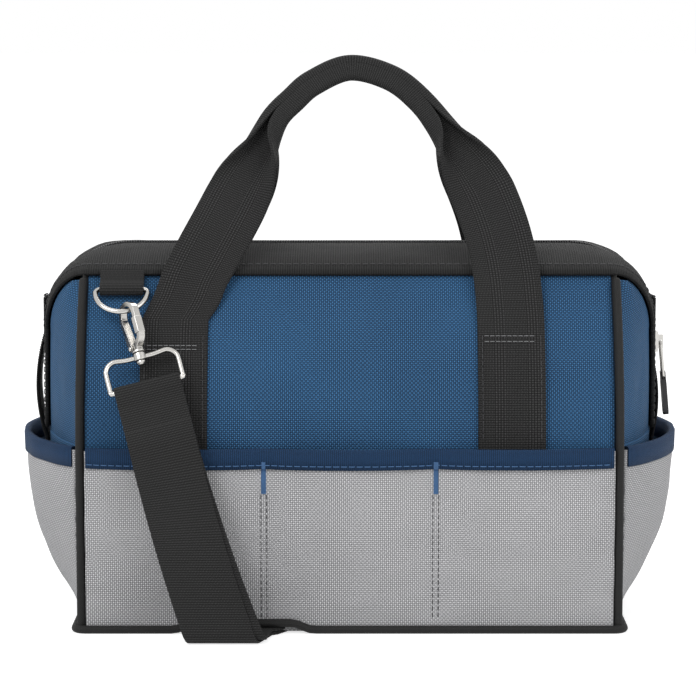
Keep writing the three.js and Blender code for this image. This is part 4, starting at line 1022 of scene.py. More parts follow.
def station(angle, z, x=1.0):
    """A place along the hem band: its seam edge, zip edge, lapped edge and outward direction."""
    lap = 2.5 * CLEARANCE + BAND_THICKNESS
    cos = math.cos(math.radians(angle))
    sin = math.sin(math.radians(angle))
    out = Vector((cos, 0, sin))
    leg = min(z, BAND_RISE)
    seam_reach = end_reach(BAND_LEG_DEPTH, leg) + lap
    top_edge = front_point(0, SEAM_HEIGHT - BAND_LAP / 2)
    seam_x = seam_reach - SEAM_CORNER_REACH * (1 - cos)
    seam_y = mix(-BAND_LEG_DEPTH, top_edge.y - lap, angle / 90)
    seam_z = mix(leg, top_edge.z + lap / 2, sin)
    down_wall = front_point(0, SEAM_HEIGHT - 2 * BAND_LAP) - front_point(0, SEAM_HEIGHT - BAND_LAP)
    down_end = end_reach(BAND_LEG_DEPTH + BAND_LAP, leg) - end_reach(BAND_LEG_DEPTH, leg)
    lap_way = Vector((down_end * cos, mix(-BAND_LAP, down_wall.y, sin), down_wall.z * sin))
    zip_x = end_reach(0, leg) - BAND_CORNER * (1 - cos)
    seam = Vector((x * seam_x, seam_y, seam_z))
    zip_edge = Vector((x * zip_x, -ZIP_GAP, mix(leg, ZIP_HEIGHT, sin)))
    return {"seam": seam, "zip": zip_edge, "edge": seam + lap_way, "out": out}


def band_stations(low, start=0.0, legs=10, arc=16, top=40):
    """Stations from the right end's foot or a start angle over the bag to the left, evenly mirrored."""
    right = []
    if start == 0:
        right += [station(0, z) for z in spaced(low, BAND_RISE, legs)[:-1]]
    right += [station(angle, BAND_RISE) for angle in spaced(start, 90, arc)]
    right += [station(90, BAND_RISE, 1 - j / top) for j in range(1, top + 1)]
    left = []
    for place in right[:-1]:
        left.append({key: Vector((-p.x, p.y, p.z)) for key, p in place.items()})
    return right + left[::-1]


def band_point(place, share):
    """A point across the band: 0 is the zip edge and 1 the seam edge."""
    shoulder = mix(0.5, 8, abs(place["out"].z))
    control = place["zip"].lerp(place["seam"], 0.65) + place["out"] * shoulder
    near = place["zip"].lerp(control, share)
    return near.lerp(control.lerp(place["seam"], share), share)


def hem_rows():
    """The hem band from its zip edge to its lapped edge, a little uneven in the middle."""
    stations = band_stations(BAND_FOOT)
    rows = []
    for share in (0, 0.03, 0.07, 0.12, 0.18, 0.25, 0.33, 0.41, 0.5, 0.6, 0.7, 0.8, 0.88, 0.95, 1):
        body = smoothstep(share, 0.15, 0.45) * smoothstep(1 - share, 0.0, 0.25)
        row = []
        for place in stations:
            point = band_point(place, share)
            row.append(point + place["out"] * (body * slack(point, BAND_SLACK)))
        rows.append(row)
    return rows + [[place["edge"] for place in stations]]


def wing_rows():
    """The upper half of an end wall's side, which opens with the mouth."""
    rows = []
    for z in (92.0, 96.0, 100.0):
        outer = END_EDGE_GAP - wall_depth(z)
        rows.append([Vector((end_reach(y, z) - 0.2, y, z))
                     for y in spaced(outer, 2 * BAND_LAP - BAND_LEG_DEPTH, 18)])
    straight = BAND_RISE - POCKET_HEIGHT
    under_band = 2 * CLEARANCE + BAND_THICKNESS
    for up in spaced(0, 1, 32):
        travel = mix(CLEARANCE, (straight + BAND_CORNER) * 0.985, up)
        angle = max(0.0, (travel - straight) / BAND_CORNER * 90 * 0.78)
        place = station(angle, min(POCKET_HEIGHT + travel, BAND_RISE))
        under = place["seam"] - place["out"] * (under_band + 1)
        under.y += 2 * BAND_LAP
        edge = place["edge"] - place["out"] * (under_band + 0.6)
        z = mix(POCKET_HEIGHT + CLEARANCE, SEAM_HEIGHT - WALL_THICKNESS - 4, up)
        y = END_EDGE_GAP - wall_depth(z)
        corner = Vector((end_reach(y, z), y, z))
        row = []
        for share in spaced(0, 1, 16):
            point = corner.lerp(edge, share)
            inner = smoothstep(share, 0, 0.25) * smoothstep(1 - share, 0.0, 0.3)
            point.x += WING_BULGE * math.sin(math.pi * share) + inner * slack(point, WING_SLACK)
            row.append(point)
        rows.append(row + [edge.lerp(under, 0.5), under])
    return rows


def make_hem():
    band_grid = hem_rows()
    wing_grid = wing_rows()
    for side, y in SIDES:
        flap = f"{side}_flap"
        band = cloth(f"{side}_hem_cloth", mirror_rows(band_grid, 1, y), BAND_THICKNESS)
        dressed(band, band_cloth, "webbing_black", flap, f"{side}_hem_band")
        for end, x in ENDS:
            wing = cloth(f"{side}_{end}_wing_cloth", mirror_rows(wing_grid, x, y), WALL_THICKNESS)
            dressed(wing, blue_cloth, "fabric_blue", ("bag_body", flap, *WING_BEND), f"{side}_{end}_wing")


make_hem()


# Repeated shapes


def repeat_along(name, sizes, piece):
    """A tree that sets one small shape along a guide, turned with it, and gives it its material."""
    sockets = {"Guide": "Geometry", **sizes, "Finish": "Material"}
    w, given, result = node_group(name, "GeometryNodeTree", sockets, {"Mesh": "Geometry"})
    axes = [w.out("GeometryNodeInputNamedAttribute", {"Name": label}, data_type="FLOAT_VECTOR")
            for label in ("way", "face")]
    turn = w.out("FunctionNodeAxesToRotation", enumerate(axes), primary_axis="X", secondary_axis="Z")
    pieces = w.out("GeometryNodeInstanceOnPoints",
                   {"Points": given["Guide"], "Instance": piece(w, given), "Rotation": turn})
    real = w.out("GeometryNodeRealizeInstances", {0: pieces})
    smooth = w.out("GeometryNodeSetShadeSmooth", {0: real})
    finish = w.out("GeometryNodeSetMaterial", {"Geometry": smooth, "Material": given["Finish"]})
    w.feed(result, {0: finish})
    return w.tree


def thread_piece(w, given):
    """One stitch: a short thread that dips into the cloth at both ends."""
    ends = {}
    for socket, share, rise in (("Start", -0.5, -0.8), ("Middle", 0.0, 1.6), ("End", 0.5, -0.8)):
        x = w.math("MULTIPLY", given["Length"], share)
        z = w.math("MULTIPLY", given["Thread"], rise)
        ends[socket] = w.out("ShaderNodeCombineXYZ", {"X": x, "Z": z})
    arc = w.out("GeometryNodeCurveQuadraticBezier", {"Resolution": 5, **ends})
    return skinned(w, arc, given["Thread"])


def coil_piece(w, given):
    """One tooth of a coil: a thick thread that runs out from the tape and turns back under itself."""
    radius = given["Radius"]
    helix = w.out("GeometryNodeCurveSpiral", {
        "Resolution": 14, "Rotations": 1.0, "Start Radius": radius, "End Radius": radius,
        "Height": given["Pitch"],
    })
    thread = skinned(w, helix, given["Thread"])
    return w.out("GeometryNodeTransform", {"Geometry": thread, "Rotation": (0, math.pi / 2, 0)})


def skinned(w, curve, radius):
    """A round thread along a curve."""
    circle = w.out("GeometryNodeCurvePrimitiveCircle", {"Resolution": 6, "Radius": radius})
    return w.out("GeometryNodeCurveToMesh", {"Curve": curve, "Profile Curve": circle, "Fill Caps": True})


STITCHES = repeat_along("stitch row", {"Length": 0.003, "Thread": 0.0003}, thread_piece)
COIL = repeat_along("zip coil", {"Radius": 0.0009, "Pitch": 0.0017, "Thread": 0.0004}, coil_piece)


def guide(name, places, step, across=False):
    """Points at even steps along a line of (point, face) pairs, with the way and face of each."""
    run = 0.0
    points = []
    ways = []
    faces = []
    for (a, face_a), (b, face_b) in zip(places, places[1:]):
        length = (b - a).length
        way = (b - a).normalized()
        while run < length:
            face = face_a.lerp(face_b, run / length).normalized()
            points.append(tuple(a.lerp(b, run / length) * MM))
            ways.append(way.cross(face) if across else way)
            faces.append(face)
            run += step
        run -= length
    mesh = bpy.data.meshes.new(name)
    mesh.from_pydata(points, [], [])
    for label, values in (("way", ways), ("face", faces)):
        attribute = mesh.attributes.new(label, "FLOAT_VECTOR", "POINT")
        attribute.data.foreach_set("vector", [c for v in values for c in v])
    return placed(name, mesh)


def repeated(obj, tree, sizes, finish):
    """Runs a tree on a guide, with its sizes in millimetres."""
    inputs = {label: value * MM for label, value in sizes.items()}
    return modified(obj, "NODES", {**inputs, "Finish": finish}, node_group=tree)


def stitches(name, places, finish, length=3.2, gap=1.2, thread=0.28, across=False):
    """A row of stitches along a line, or a close row of them across it."""
    line = guide(name, places, gap if across else length + gap, across)
    return repeated(line, STITCHES, {"Length": length, "Thread": thread}, finish)


def zip_line():
    """The middle line of the zip over the bag, with its outward direction."""
    stations = band_stations(BAND_RISE, 20, 0, 24, 60)
    return [(Vector((s["zip"].x, 0, s["zip"].z)), s["out"]) for s in stations]


def tail_line(end, bow, bow_height, straight_foot):
    """The middle line of a zip tail down an end, bowed off the pocket."""
    places = []
    for z in spaced(TAIL_FOOT, TAIL_TOP, 48):
        away = max(0.0, 1 - ((z - bow_height) / (straight_foot - bow_height)) ** 2)
        reach = end_reach(0, z) + ZIP_STAND_OFF + bow * away
        places.append((Vector((end * reach, 0, z)), Vector((end, 0, 0))))
    return places


def coil(name, places, offset):
    """Coil teeth at a distance beside a path; across is the path's way times its face."""
    shifted = []
    for k, (point, face) in enumerate(places):
        before = places[max(k - 1, 0)][0]
        after = places[min(k + 1, len(places) - 1)][0]
        across = (after - before).normalized().cross(face)
        shifted.append((point + across * offset, face))
    sizes = {"Radius": COIL_RADIUS, "Pitch": COIL_PITCH, "Thread": COIL_THREAD}
    return repeated(guide(name, shifted, COIL_PITCH), COIL, sizes, coil_plastic)


def tape_strip(name, places, near, far):
    """A strip of zip tape beside a path."""
    frames = path_frames([p for p, f in places], [f for p, f in places])
    section = [(near, 0), (far, 0), (far, -TAPE_THICKNESS), (near, -TAPE_THICKNESS)]
    tape = sweep(name, frames, lambda share: section)
    tape.data.materials.append(zip_tape)
    return tape


def make_zip():
    for side, y in SIDES:
        tape = tape_strip(f"{side}_zip_tape", zip_line(), CLEARANCE / 2, ZIP_GAP - CLEARANCE)
        teeth = coil(f"{side}_zip_coil", zip_line(), CLEARANCE / 2 + TEETH_OFFSET)
        half = joined(f"{side}_zip", [tape, teeth])
        # The line runs from right to left, so each half is made at the rear
        if y > 0:
            moved(half, OTHER_SIDE)
        dressed(half, None, "zip_black", f"{side}_flap", f"{side}_zip_half")
    for (end, x), tail in zip(ENDS, (LEFT_TAIL, RIGHT_TAIL)):
        places = tail_line(x, **tail)
        tape = tape_strip(f"{end}_tail_tape", places, -TAIL_WIDTH / 2, TAIL_WIDTH / 2)
        rows = [coil(f"{end}_tail_coil_{k}", places, k * TAIL_TEETH_OFFSET) for k in (-1, 1)]
        dressed(joined(f"{end}_zip_tail", [tape] + rows), None, "zip_black", "bag_body", f"zip_tail_{end}")


make_zip()


# Handles


def handle_line():
    """The centre line of a handle, from shares of the way to its ends and of its height."""
    rise = HANDLE_TOP - HANDLE_SEAM
    left = ((1, 0), (0.935, 0.08), (0.885, 0.17), (0.81, 0.27), (0.693, 0.42), (0.574, 0.585),
            (0.449, 0.78), (0.33, 0.872), (0.213, 0.94))
    right = ((0.258, 0.96), (0.442, 0.872), (0.599, 0.745), (0.797, 0.545), (0.867, 0.454),
             (0.936, 0.32), (0.98, 0.17), (1, 0))
    seam_y = front_point(HANDLE_LEFT, HANDLE_SEAM).y - CLEARANCE - WEBBING_THICKNESS / 2
    top_y = -HANDLE_GAP / 2 - GRIP_THICKNESS / 2

    def place(pair, end):
        share, up = pair
        return Vector((share * end, mix(seam_y, top_y, up), HANDLE_SEAM + 3 * CLEARANCE + rise * up))

    points = [place(p, HANDLE_LEFT) for p in left] + [place((0, 1), 0)]
    return catmull(points + [place(p, HANDLE_RIGHT) for p in right], 12)


def strip_line(x):
    """The middle of a handle's strip on the front wall, from under the pocket's rim to the seam."""
    lift = CLEARANCE + WEBBING_THICKNESS / 2 - STRIP_SINK
    low = POCKET_HEIGHT - 4
    return [front_point(x, z) + front_normal(x, z) * lift for z in spaced(low, HANDLE_SEAM - 6, 30)]


def fold_section(fold):
    """Handle webbing from flat at fold 0 to wrapped round into an oval grip at fold 1."""
    wide = GRIP_WIDTH - WEBBING_THICKNESS
    thick = GRIP_THICKNESS - WEBBING_THICKNESS
    straight = wide - thick
    half_turn = math.pi * thick / 2
    first = GRIP_SEAM * GRIP_WIDTH - GRIP_THICKNESS / 2
    # The webbing's stretches from its seam round the oval: length and share of a half turn
    stretches = ((first, 0), (half_turn, 1), (straight, 0), (half_turn, 1), (straight - first, 0))
    whole = sum(length for length, turn in stretches)
    grow = mix(WEBBING_WIDTH / whole, 1, fold)
    heading = -math.pi * fold
    s = 0.0
    t = 0.0
    line = [(s, t, heading)]
    for length, turn in stretches:
        steps = 8 if turn else 5
        for k in range(steps):
            heading += turn * math.pi * fold / steps / 2
            s += math.cos(heading) * length * grow / steps
            t += math.sin(heading) * length * grow / steps
            heading += turn * math.pi * fold / steps / 2
            line.append((s, t, heading))
    middle_s = (min(p[0] for p in line) + max(p[0] for p in line)) / 2
    back = min(p[1] for p in line)
    half = WEBBING_THICKNESS / 2
    inner = []
    outer = []
    for s, t, heading in line:
        s -= middle_s
        t -= back + fold * thick / 2
        inner.append((s - half * math.sin(heading), t + half * math.cos(heading)))
        outer.append((s + half * math.sin(heading), t - half * math.cos(heading)))
    return outer + inner[::-1]


def handle_piece(side, y):
    """One length of webbing: up the left strip, over the handle and down the right strip."""
    loop = handle_line()
    rise = HANDLE_TOP - HANDLE_SEAM
    lean = Vector((0, -rise, loop[len(loop) // 2].y - loop[0].y)).normalized()
    left = strip_line(HANDLE_LEFT)
    right = strip_line(HANDLE_RIGHT)
    line = left + loop[1:-1] + right[::-1]
    flat = Vector((0, -1, 0.3))
    frames = path_frames(line, [flat] * len(left) + [lean] * (len(loop) - 2) + [flat] * len(right))
    length = distances(line)
    start = length[len(left)]
    stop = length[len(left) + len(loop) - 3]

    def from_end(k):
        way = (length[k] - start) / (stop - start)
        return min(way, 1 - way)

    # The webbing leaves each seam level and turns square to its line on its way up
    for k, (point, across, face) in enumerate(frames):
        level = 1 - clamp(from_end(k) / LEVEL_SHARE)
        across_seam = Vector((math.copysign(1, across.x), 0, 0))
        frames[k] = (point, across.lerp(across_seam, level).normalized(), face)

    def section(share):
        return fold_section(smoothstep(from_end(round(share * (len(line) - 1))), FOLD_START, FOLD_END))

    obj = sweep(f"{side}_handle_webbing", frames, section)
    if y < 0:
        moved(obj, OTHER_SIDE)
    seam = (f"{side}_flap", f"{side}_handle_loop", *HANDLE_BEND)
    return dressed(obj, black_webbing, "webbing_black", seam,
                   f"{side}_handle", f"{side}_handle_strip_left", f"{side}_handle_strip_right")


for side, y in SIDES:
    handle_piece(side, y)


# Rings, hooks and strap. These are made at the front; the rear ones are turned half round


def wall_slope(z):
    below = front_point(RING_OFFSET, z - 1)
    above = front_point(RING_OFFSET, z + 1)
    return math.atan2(above.y - below.y, above.z - below.z)


def ring_pivot():
    slope = wall_slope(RING_HEIGHT)
    out = RING_WIRE + CLEARANCE + TAB_THICKNESS + CLEARANCE
    away = Vector((0, -out * math.cos(slope), out * math.sin(slope)))
    return front_point(-RING_OFFSET, RING_HEIGHT) + away


def ring_low(x):
    """Height of the D-ring's wire below its straight bar, at a distance from its middle."""
    return -RING_CORNER - (RING_DROP - RING_CORNER) * math.sqrt(max(0.0, 1 - (x / (RING_WIDTH / 2)) ** 2))


def hang_lean():
    out = wall_depth(RING_HEIGHT - HOOK_REACH) - wall_depth(RING_HEIGHT)
    return math.degrees(math.atan2(out, HOOK_REACH)) - HANG_EASE


def rotation(x=0.0, y=0.0, z=0.0):
    """A turn about X, then Y, then Z of the turned frame, in degrees."""
    a, b, c = [Matrix.Rotation(math.radians(turn), 4, axis) for turn, axis in zip((x, y, z), "XYZ")]
    return a @ b @ c


RING_FRAME = Matrix.Translation(ring_pivot()) @ rotation(-RING_LEAN)
HANG_POINT = Matrix.Translation((HANG_SHIFT, 0, ring_low(HANG_SHIFT)))
HANG_FRAME = RING_FRAME @ HANG_POINT @ rotation(RING_LEAN - hang_lean(), -HANG_TILT)
HOOK_FRAME = HANG_FRAME @ rotation(0, 0, HOOK_TURN)


def d_ring():
    half = RING_WIDTH / 2
    line = [Vector((x, 0, 0)) for x in (RING_CORNER - half, -half / 2, 0, half / 2, half - RING_CORNER)]
    line += [Vector((x, 0, ring_low(x))) for x, y in arc_points(0, 0, half, 0, 180, 24)]
    return tube("d_ring_wire", catmull(line, 3, True), RING_WIRE, 16, Vector((0, 1, 0)), True)


def hard_piece(name, points, faces, bevel):
    """A metal piece with its sharp edges rounded."""
    uvs = [(0, 0)] * sum(len(face) for face in faces)
    return modified(face_out(mesh_from(name, points, faces, uvs)), "BEVEL", width=bevel * MM, segments=3,
                    limit_method="ANGLE", angle_limit=math.radians(40), harden_normals=True)


def turned(name, profile, sides=28):
    """A turned shape about Z from (radius, height) pairs."""
    points = [Vector((x, y, z)) for r, z in profile for x, y in ring(r, sides)]
    last = len(points) - sides
    faces = []
    for a in range(0, last, sides):
        for k in range(sides):
            n = (k + 1) % sides
            faces.append((a + k, a + n, a + sides + n, a + sides + k))
    faces += [tuple(range(sides))[::-1], tuple(range(last, len(points)))]
    return hard_piece(name, points, faces, THIN_EDGE)


def slab(name, outline, thickness, bevel, y=0.0):
    """A plate cut to an outline of (x, z) pairs, with rounded edges."""
    count = len(outline)
    points = [Vector((x, y + t, z)) for t in (-thickness / 2, thickness / 2) for x, z in outline]
    faces = [tuple(range(count)), tuple(range(count, 2 * count))[::-1]]
    for k in range(count):
        n = (k + 1) % count
        faces.append((n, k, count + k, count + n))
    return hard_piece(name, points, faces, bevel)


def hook_outline():
    """The flat bar of the hook: the neck, the shank, the arch over the ring and the nose."""
    outer = HOOK_HALF_WIDTH + HOOK_BAR / 2
    inner = HOOK_HALF_WIDTH - HOOK_BAR / 2
    bend = ARCH_HEIGHT - SHANK_LENGTH
    nose = ARCH_HEIGHT - NOSE_LENGTH
    neck = (NECK_HALF, FLANGE_TOP + NECK_HEIGHT)
    line = [(-NECK_HALF, FLANGE_TOP), (NECK_HALF, FLANGE_TOP), neck]
    line += bend_points(neck, (outer, bend - SHANK_BEND), (outer, bend), 8)
    line += arc_points(0, ARCH_HEIGHT, outer, 0, 180, 24)
    line += [(-outer, nose), (-inner, nose)]
    line += arc_points(0, ARCH_HEIGHT, inner, 180, 0, 20)
    line.append((inner, bend))
    foot = bend_points((inner, bend), (inner, bend - SHANK_BEND),
                       (-NECK_HALF, LEVER_PIVOT_Z + LEVER_FOOT), 12)
    line += [point for point in foot if point[0] > BAR_CUT]
    return line + [(BAR_CUT, FLANGE_TOP + BAR_CUT), (-NECK_HALF, FLANGE_TOP + BAR_CUT)]


def lug_outline():
    """The lug that the lever turns on, at the left of the neck."""
    radius = LEVER_FOOT - 0.1
    line = [(NECK_HALF, FLANGE_TOP), (NECK_HALF, LEVER_PIVOT_Z + 2 * radius)]
    line += arc_points(LEVER_PIVOT_X, LEVER_PIVOT_Z, radius, 90, 270, 12)
    return line + [(-NECK_HALF, FLANGE_TOP)]


def rivet():
    """The lever's rivet with its two domed heads."""
    half = (LUG_THICKNESS + 2 * (CLEARANCE + LEVER_SHEET)) / 2 + CLEARANCE
    upper = [(RIVET_PIN, half), (RIVET_HEAD, half), (RIVET_HEAD, half + 0.2), (1.0, half + 0.6),
             (0.4, half + RIVET_RISE)]
    lower = [(r, -z) for r, z in upper[::-1]]
    place = Matrix.Translation((LEVER_PIVOT_X, 0, LEVER_PIVOT_Z)) @ Matrix.Rotation(math.pi / 2, 4, "X")
    return moved(turned("hook_rivet", lower + upper, 20), place)


def hook_pieces():
    """The hook's bar, stepped shank, lug, rivet and flanged swivel pin with its riveted head."""
    outer = HOOK_HALF_WIDTH + HOOK_BAR / 2
    step_top = ARCH_HEIGHT - SHANK_STEP
    bend = ARCH_HEIGHT - SHANK_LENGTH
    near = outer - SHANK_BAR
    shank = [(near, bend), (outer + 0.2, bend), (outer + 0.2, step_top), (near, step_top)]
    flange_low = FLANGE_TOP - FLANGE_THICKNESS
    pin_foot = HUB_FOOT - CLEARANCE
    swivel = turned("hook_swivel", [
        (NECK_HALF, FLANGE_TOP + 0.3), (NECK_HALF + 0.6, FLANGE_TOP), (FLANGE_RADIUS, FLANGE_TOP - 0.5),
        (FLANGE_RADIUS, flange_low), (SWIVEL_PIN, flange_low), (SWIVEL_PIN, pin_foot),
        (SWIVEL_HEAD, pin_foot), (SWIVEL_HEAD, pin_foot - SWIVEL_RIM),
        (SWIVEL_PIN, pin_foot - SWIVEL_RIM - SWIVEL_DOME),
    ])
    return [slab("hook_bar", hook_outline(), HOOK_THICKNESS, HOOK_EDGE),
            slab("hook_shank", shank, SHANK_THICKNESS, SHANK_EDGE),
            slab("hook_lug", lug_outline(), LUG_THICKNESS, THIN_EDGE), rivet(), swivel]


def gate_pieces():
    """The lever: a channel of thin sheet, open toward the shank."""
    left = -HOOK_HALF_WIDTH - LEVER_TIP / 2
    top = ARCH_HEIGHT - NOSE_LENGTH - CLEARANCE
    cheek = [(left, top)] + arc_points(LEVER_PIVOT_X, LEVER_PIVOT_Z, LEVER_FOOT, 180, 360, 12)
    cheek.append((left + LEVER_TIP, top))
    foot = LEVER_PIVOT_Z + WEB_FOOT
    edge = LEVER_PIVOT_X - LEVER_FOOT
    web = [(left, top), (edge, foot), (edge + LEVER_SHEET, foot), (left + LEVER_SHEET, top)]
    apart = LUG_THICKNESS / 2 + CLEARANCE + LEVER_SHEET / 2
    plates = [slab(f"lever_cheek_{k}", cheek, LEVER_SHEET, SHEET_EDGE, k * apart) for k in (-1, 1)]
    return plates + [slab("lever_web", web, 2 * apart, SHEET_EDGE)]


def eye_pieces():
    """The wire eye: two lobes and a lower bar, welded to a hub that turns on the hook's pin."""
    lobe_top = HUB_MIDDLE + 0.8
    lobe_x = EYE_HALF - EYE_LOBE
    right = [(HUB_RADIUS - 1, HUB_MIDDLE), (0.55 * lobe_x, HUB_MIDDLE)]
    right += arc_points(lobe_x, lobe_top - EYE_LOBE, EYE_LOBE, 90, 0, 4)
    right += arc_points(EYE_HALF - EYE_CORNER, EYE_FOOT + EYE_CORNER, EYE_CORNER, 0, -90, 3)
    line = [Vector((x, 0, z)) for x, z in right]
    line += [Vector((-x, 0, z)) for x, z in right[::-1]]
    wire = tube("eye_wire", catmull(line, 5), EYE_WIRE)
    bore = SWIVEL_PIN + CLEARANCE
    hub = turned("eye_hub", [
        (bore, HUB_TOP), (HUB_RADIUS - 0.5, HUB_TOP), (HUB_RADIUS, HUB_TOP - 0.5),
        (HUB_RADIUS, HUB_FOOT + 0.5), (HUB_RADIUS - 0.5, HUB_FOOT), (bore, HUB_FOOT),
    ])
    return [wire, hub]


def flat_frames(line):
    """Frames of a strip that lies across X."""
    frames = []
    side = Vector((1, 0, 0))
    for i, point in enumerate(line):
        tangent = (line[min(i + 1, len(line) - 1)] - line[max(i - 1, 0)]).normalized()
        frames.append((point, side, tangent.cross(side)))
    return frames


def strap_loop():
    """The doubled end of the strap round the eye's lower wire."""
    bend = EYE_WIRE + CLEARANCE + STRAP_THICKNESS / 2
    foot = LOOP_FOOT - CLEARANCE + STRAP_EASE / 2
    right = [Vector((0, LAYER_OFFSET, z)) for z in spaced(foot, EYE_FOOT - LOOP_OPENING, 8)]
    for z in spaced(-LOOP_OPENING, 0, 5)[1:-1]:
        spread = smoothstep(z, -LOOP_OPENING, -LOOP_SHOULDER)
        right.append(Vector((0, mix(LAYER_OFFSET, bend, spread), EYE_FOOT + z)))
    arc = [Vector((0, y, EYE_FOOT + z)) for y, z in arc_points(0, 0, bend, 0, 180, 12)]
    line = right + arc + mirrored(right, 1, -1)[::-1]
    section = strap_section(WEBBING_WIDTH, STRAP_THICKNESS)
    return sweep("strap_loop_webbing", flat_frames(line), lambda share: section)


def ring_tab():
    """The folded tab of narrow webbing that holds the ring."""
    r = RING_WIRE + CLEARANCE + TAB_THICKNESS / 2
    top = TAB_LENGTH + 3
    line = [Vector((0, r - TAB_THICKNESS * 0.1, z)) for z in spaced(top, 1, 6)]
    line += [Vector((0, y, z)) for y, z in arc_points(0, 0, r, 0, -180, 12)]
    behind = r - 1.9 * TAB_THICKNESS
    line += [Vector((0, mix(-r, behind, smoothstep(z, 1, 6)), z)) for z in spaced(1, top, 10)]
    section = strap_section(TAB_WIDTH, TAB_THICKNESS)
    return sweep("ring_tab_webbing", flat_frames(line), lambda share: section)


class StrapPath:
    """The strap's side view: a straight fall, a turn at its foot and a run along the floor."""

    def __init__(self, layer):
        self.layer = layer
        self.inset = layer * LAYER_PITCH
        self.start = HANG_FRAME @ Vector((0, -LAYER_OFFSET, LOOP_FOOT - CLEARANCE))
        radius = STRAP_FOOT_RADIUS
        self.centre_y = -(HALF_DEPTH + STRAP_FOOT_OUT) + radius
        self.centre_z = STRAP_FLOOR_GAP + STRAP_THICKNESS / 2 + radius
        lean = 0.0
        for turn in range(20):
            y = self.centre_y - radius * math.cos(lean)
            z = self.centre_z + radius * math.sin(lean)
            lean = math.atan2(self.start.y - y, self.start.z - z)
        self.lean = lean
        self.fall = math.hypot(self.start.y - y, self.start.z - z)
        self.radius = radius - self.inset
        self.arc = (math.pi / 2 + lean) * self.radius
        self.end = self.fall + self.arc - self.centre_y - CLEARANCE / 2

    def side(self, distance):
        """The point in the side view and the outward direction at a distance."""
        if distance <= self.fall:
            out = Vector((0, -math.cos(self.lean), math.sin(self.lean)))
            down = Vector((0, -math.sin(self.lean), -math.cos(self.lean)))
            point = Vector((0, self.start.y, self.start.z)) - out * self.inset
            return point + down * distance, out
        if distance <= self.fall + self.arc:
            turn = (distance - self.fall) / self.arc * (math.pi / 2 + self.lean)
            angle = math.pi - self.lean + turn
            out = Vector((0, math.cos(angle), math.sin(angle)))
            return Vector((0, self.centre_y, self.centre_z)) + out * self.radius, out
        y = self.centre_y + distance - self.fall - self.arc
        return Vector((0, y, self.centre_z - self.radius)), Vector((0, 0, -1))

    def sway(self, distance):
        """Sideways place of the strap's middle and its slope."""
        spread = STRAP_SPREAD if self.inset else 0.0
        foot_at = self.fall + self.arc
        if distance <= foot_at:
            shift = STRAP_FOOT_X + spread - self.start.x
            share = distance / foot_at
            slope = shift * mix(1, 2 * share, STRAP_CURVE) / foot_at
            return self.start.x + shift * mix(share, share * share, STRAP_CURVE), slope
        entry_y = -(HALF_DEPTH + FOOT_TOP)
        entry_at = foot_at + entry_y - self.centre_y
        if distance >= entry_at:
            return (entry_y + distance - entry_at) * STRAP_SLOPE, STRAP_SLOPE
        share = (distance - foot_at) / (entry_at - foot_at)
        start = STRAP_FOOT_X + spread
        end = entry_y * STRAP_SLOPE
        return mix(start, end, share), (end - start) / (entry_at - foot_at)

    def row(self, distance, profile, tilted):
        """The strap's section at a distance. By the hook it still hangs in the hook's own frame."""
        x, slope = self.sway(distance)
        share = clamp(distance / (0.6 * self.fall)) if tilted else 1.0
        tilt = math.radians(HANG_TILT) * (1 - share)
        half = WEBBING_WIDTH / 2 / math.cos(math.atan(slope) - tilt)
        half_ease = STRAP_EASE / 2
        own = smoothstep(distance, -half_ease, half_ease) if tilted else 1.0
        layer_y = LAYER_OFFSET if self.layer else -LAYER_OFFSET
        row = []
        for s, t in profile:
            edge = s / (WEBBING_WIDTH / 2)
            point, out = self.side(distance - edge * half * math.sin(tilt))
            point = point + out * t
            point.x = x + edge * half * math.cos(tilt)
            hanging = HANG_FRAME @ Vector((s, layer_y - t, LOOP_FOOT - CLEARANCE - distance))
            row.append(hanging.lerp(point, own))
        return row


def strap_strand(name, layer, low, high, tilted=True):
    """A length of strap between two distances along its path."""
    path = StrapPath(layer)
    along = spaced(low, high, max(8, round((high - low) / 2.5)))
    profile = strap_section(WEBBING_WIDTH, STRAP_THICKNESS)
    points = [p for distance in along for p in path.row(distance, profile, tilted)]
    around = [s * MM for s, t in profile + profile[:1]]
    return skin(name, points, len(profile), around, [distance * MM for distance in along])


def strap_pieces(side, turn):
    """The strap from the eye to the middle of the base, with its second layer."""
    flap = f"{side}_flap"
    low_bend = ("bag_body", flap, *STRAP_LOW_BEND[side])
    top_bend = (flap, f"{side}_ring_and_eye", *STRAP_TOP_BEND)
    for layer, label in enumerate(("strap_run", "strap_return")):
        path = StrapPath(layer)
        node = f"{side}_{label}"
        strands = [("high", -STRAP_EASE / 2, UPPER_LENGTH, True, top_bend, ()),
                   ("webbing", UPPER_LENGTH, path.end, True, low_bend, (node,))]
        # The rear's second layer begins below the adjuster
        if node == "rear_strap_return":
            start = ADJUSTER_PLACE * path.fall + ADJUSTER_ROOM
            strands = [("webbing", start, path.end, False, "bag_body", (node,))]
        for ending, low, high, tilted, follows, nodes in strands:
            strand = moved(strap_strand(f"{node}_{ending}", layer, low, high, tilted), turn)
            dressed(strand, black_webbing, "webbing_black", follows, *nodes)


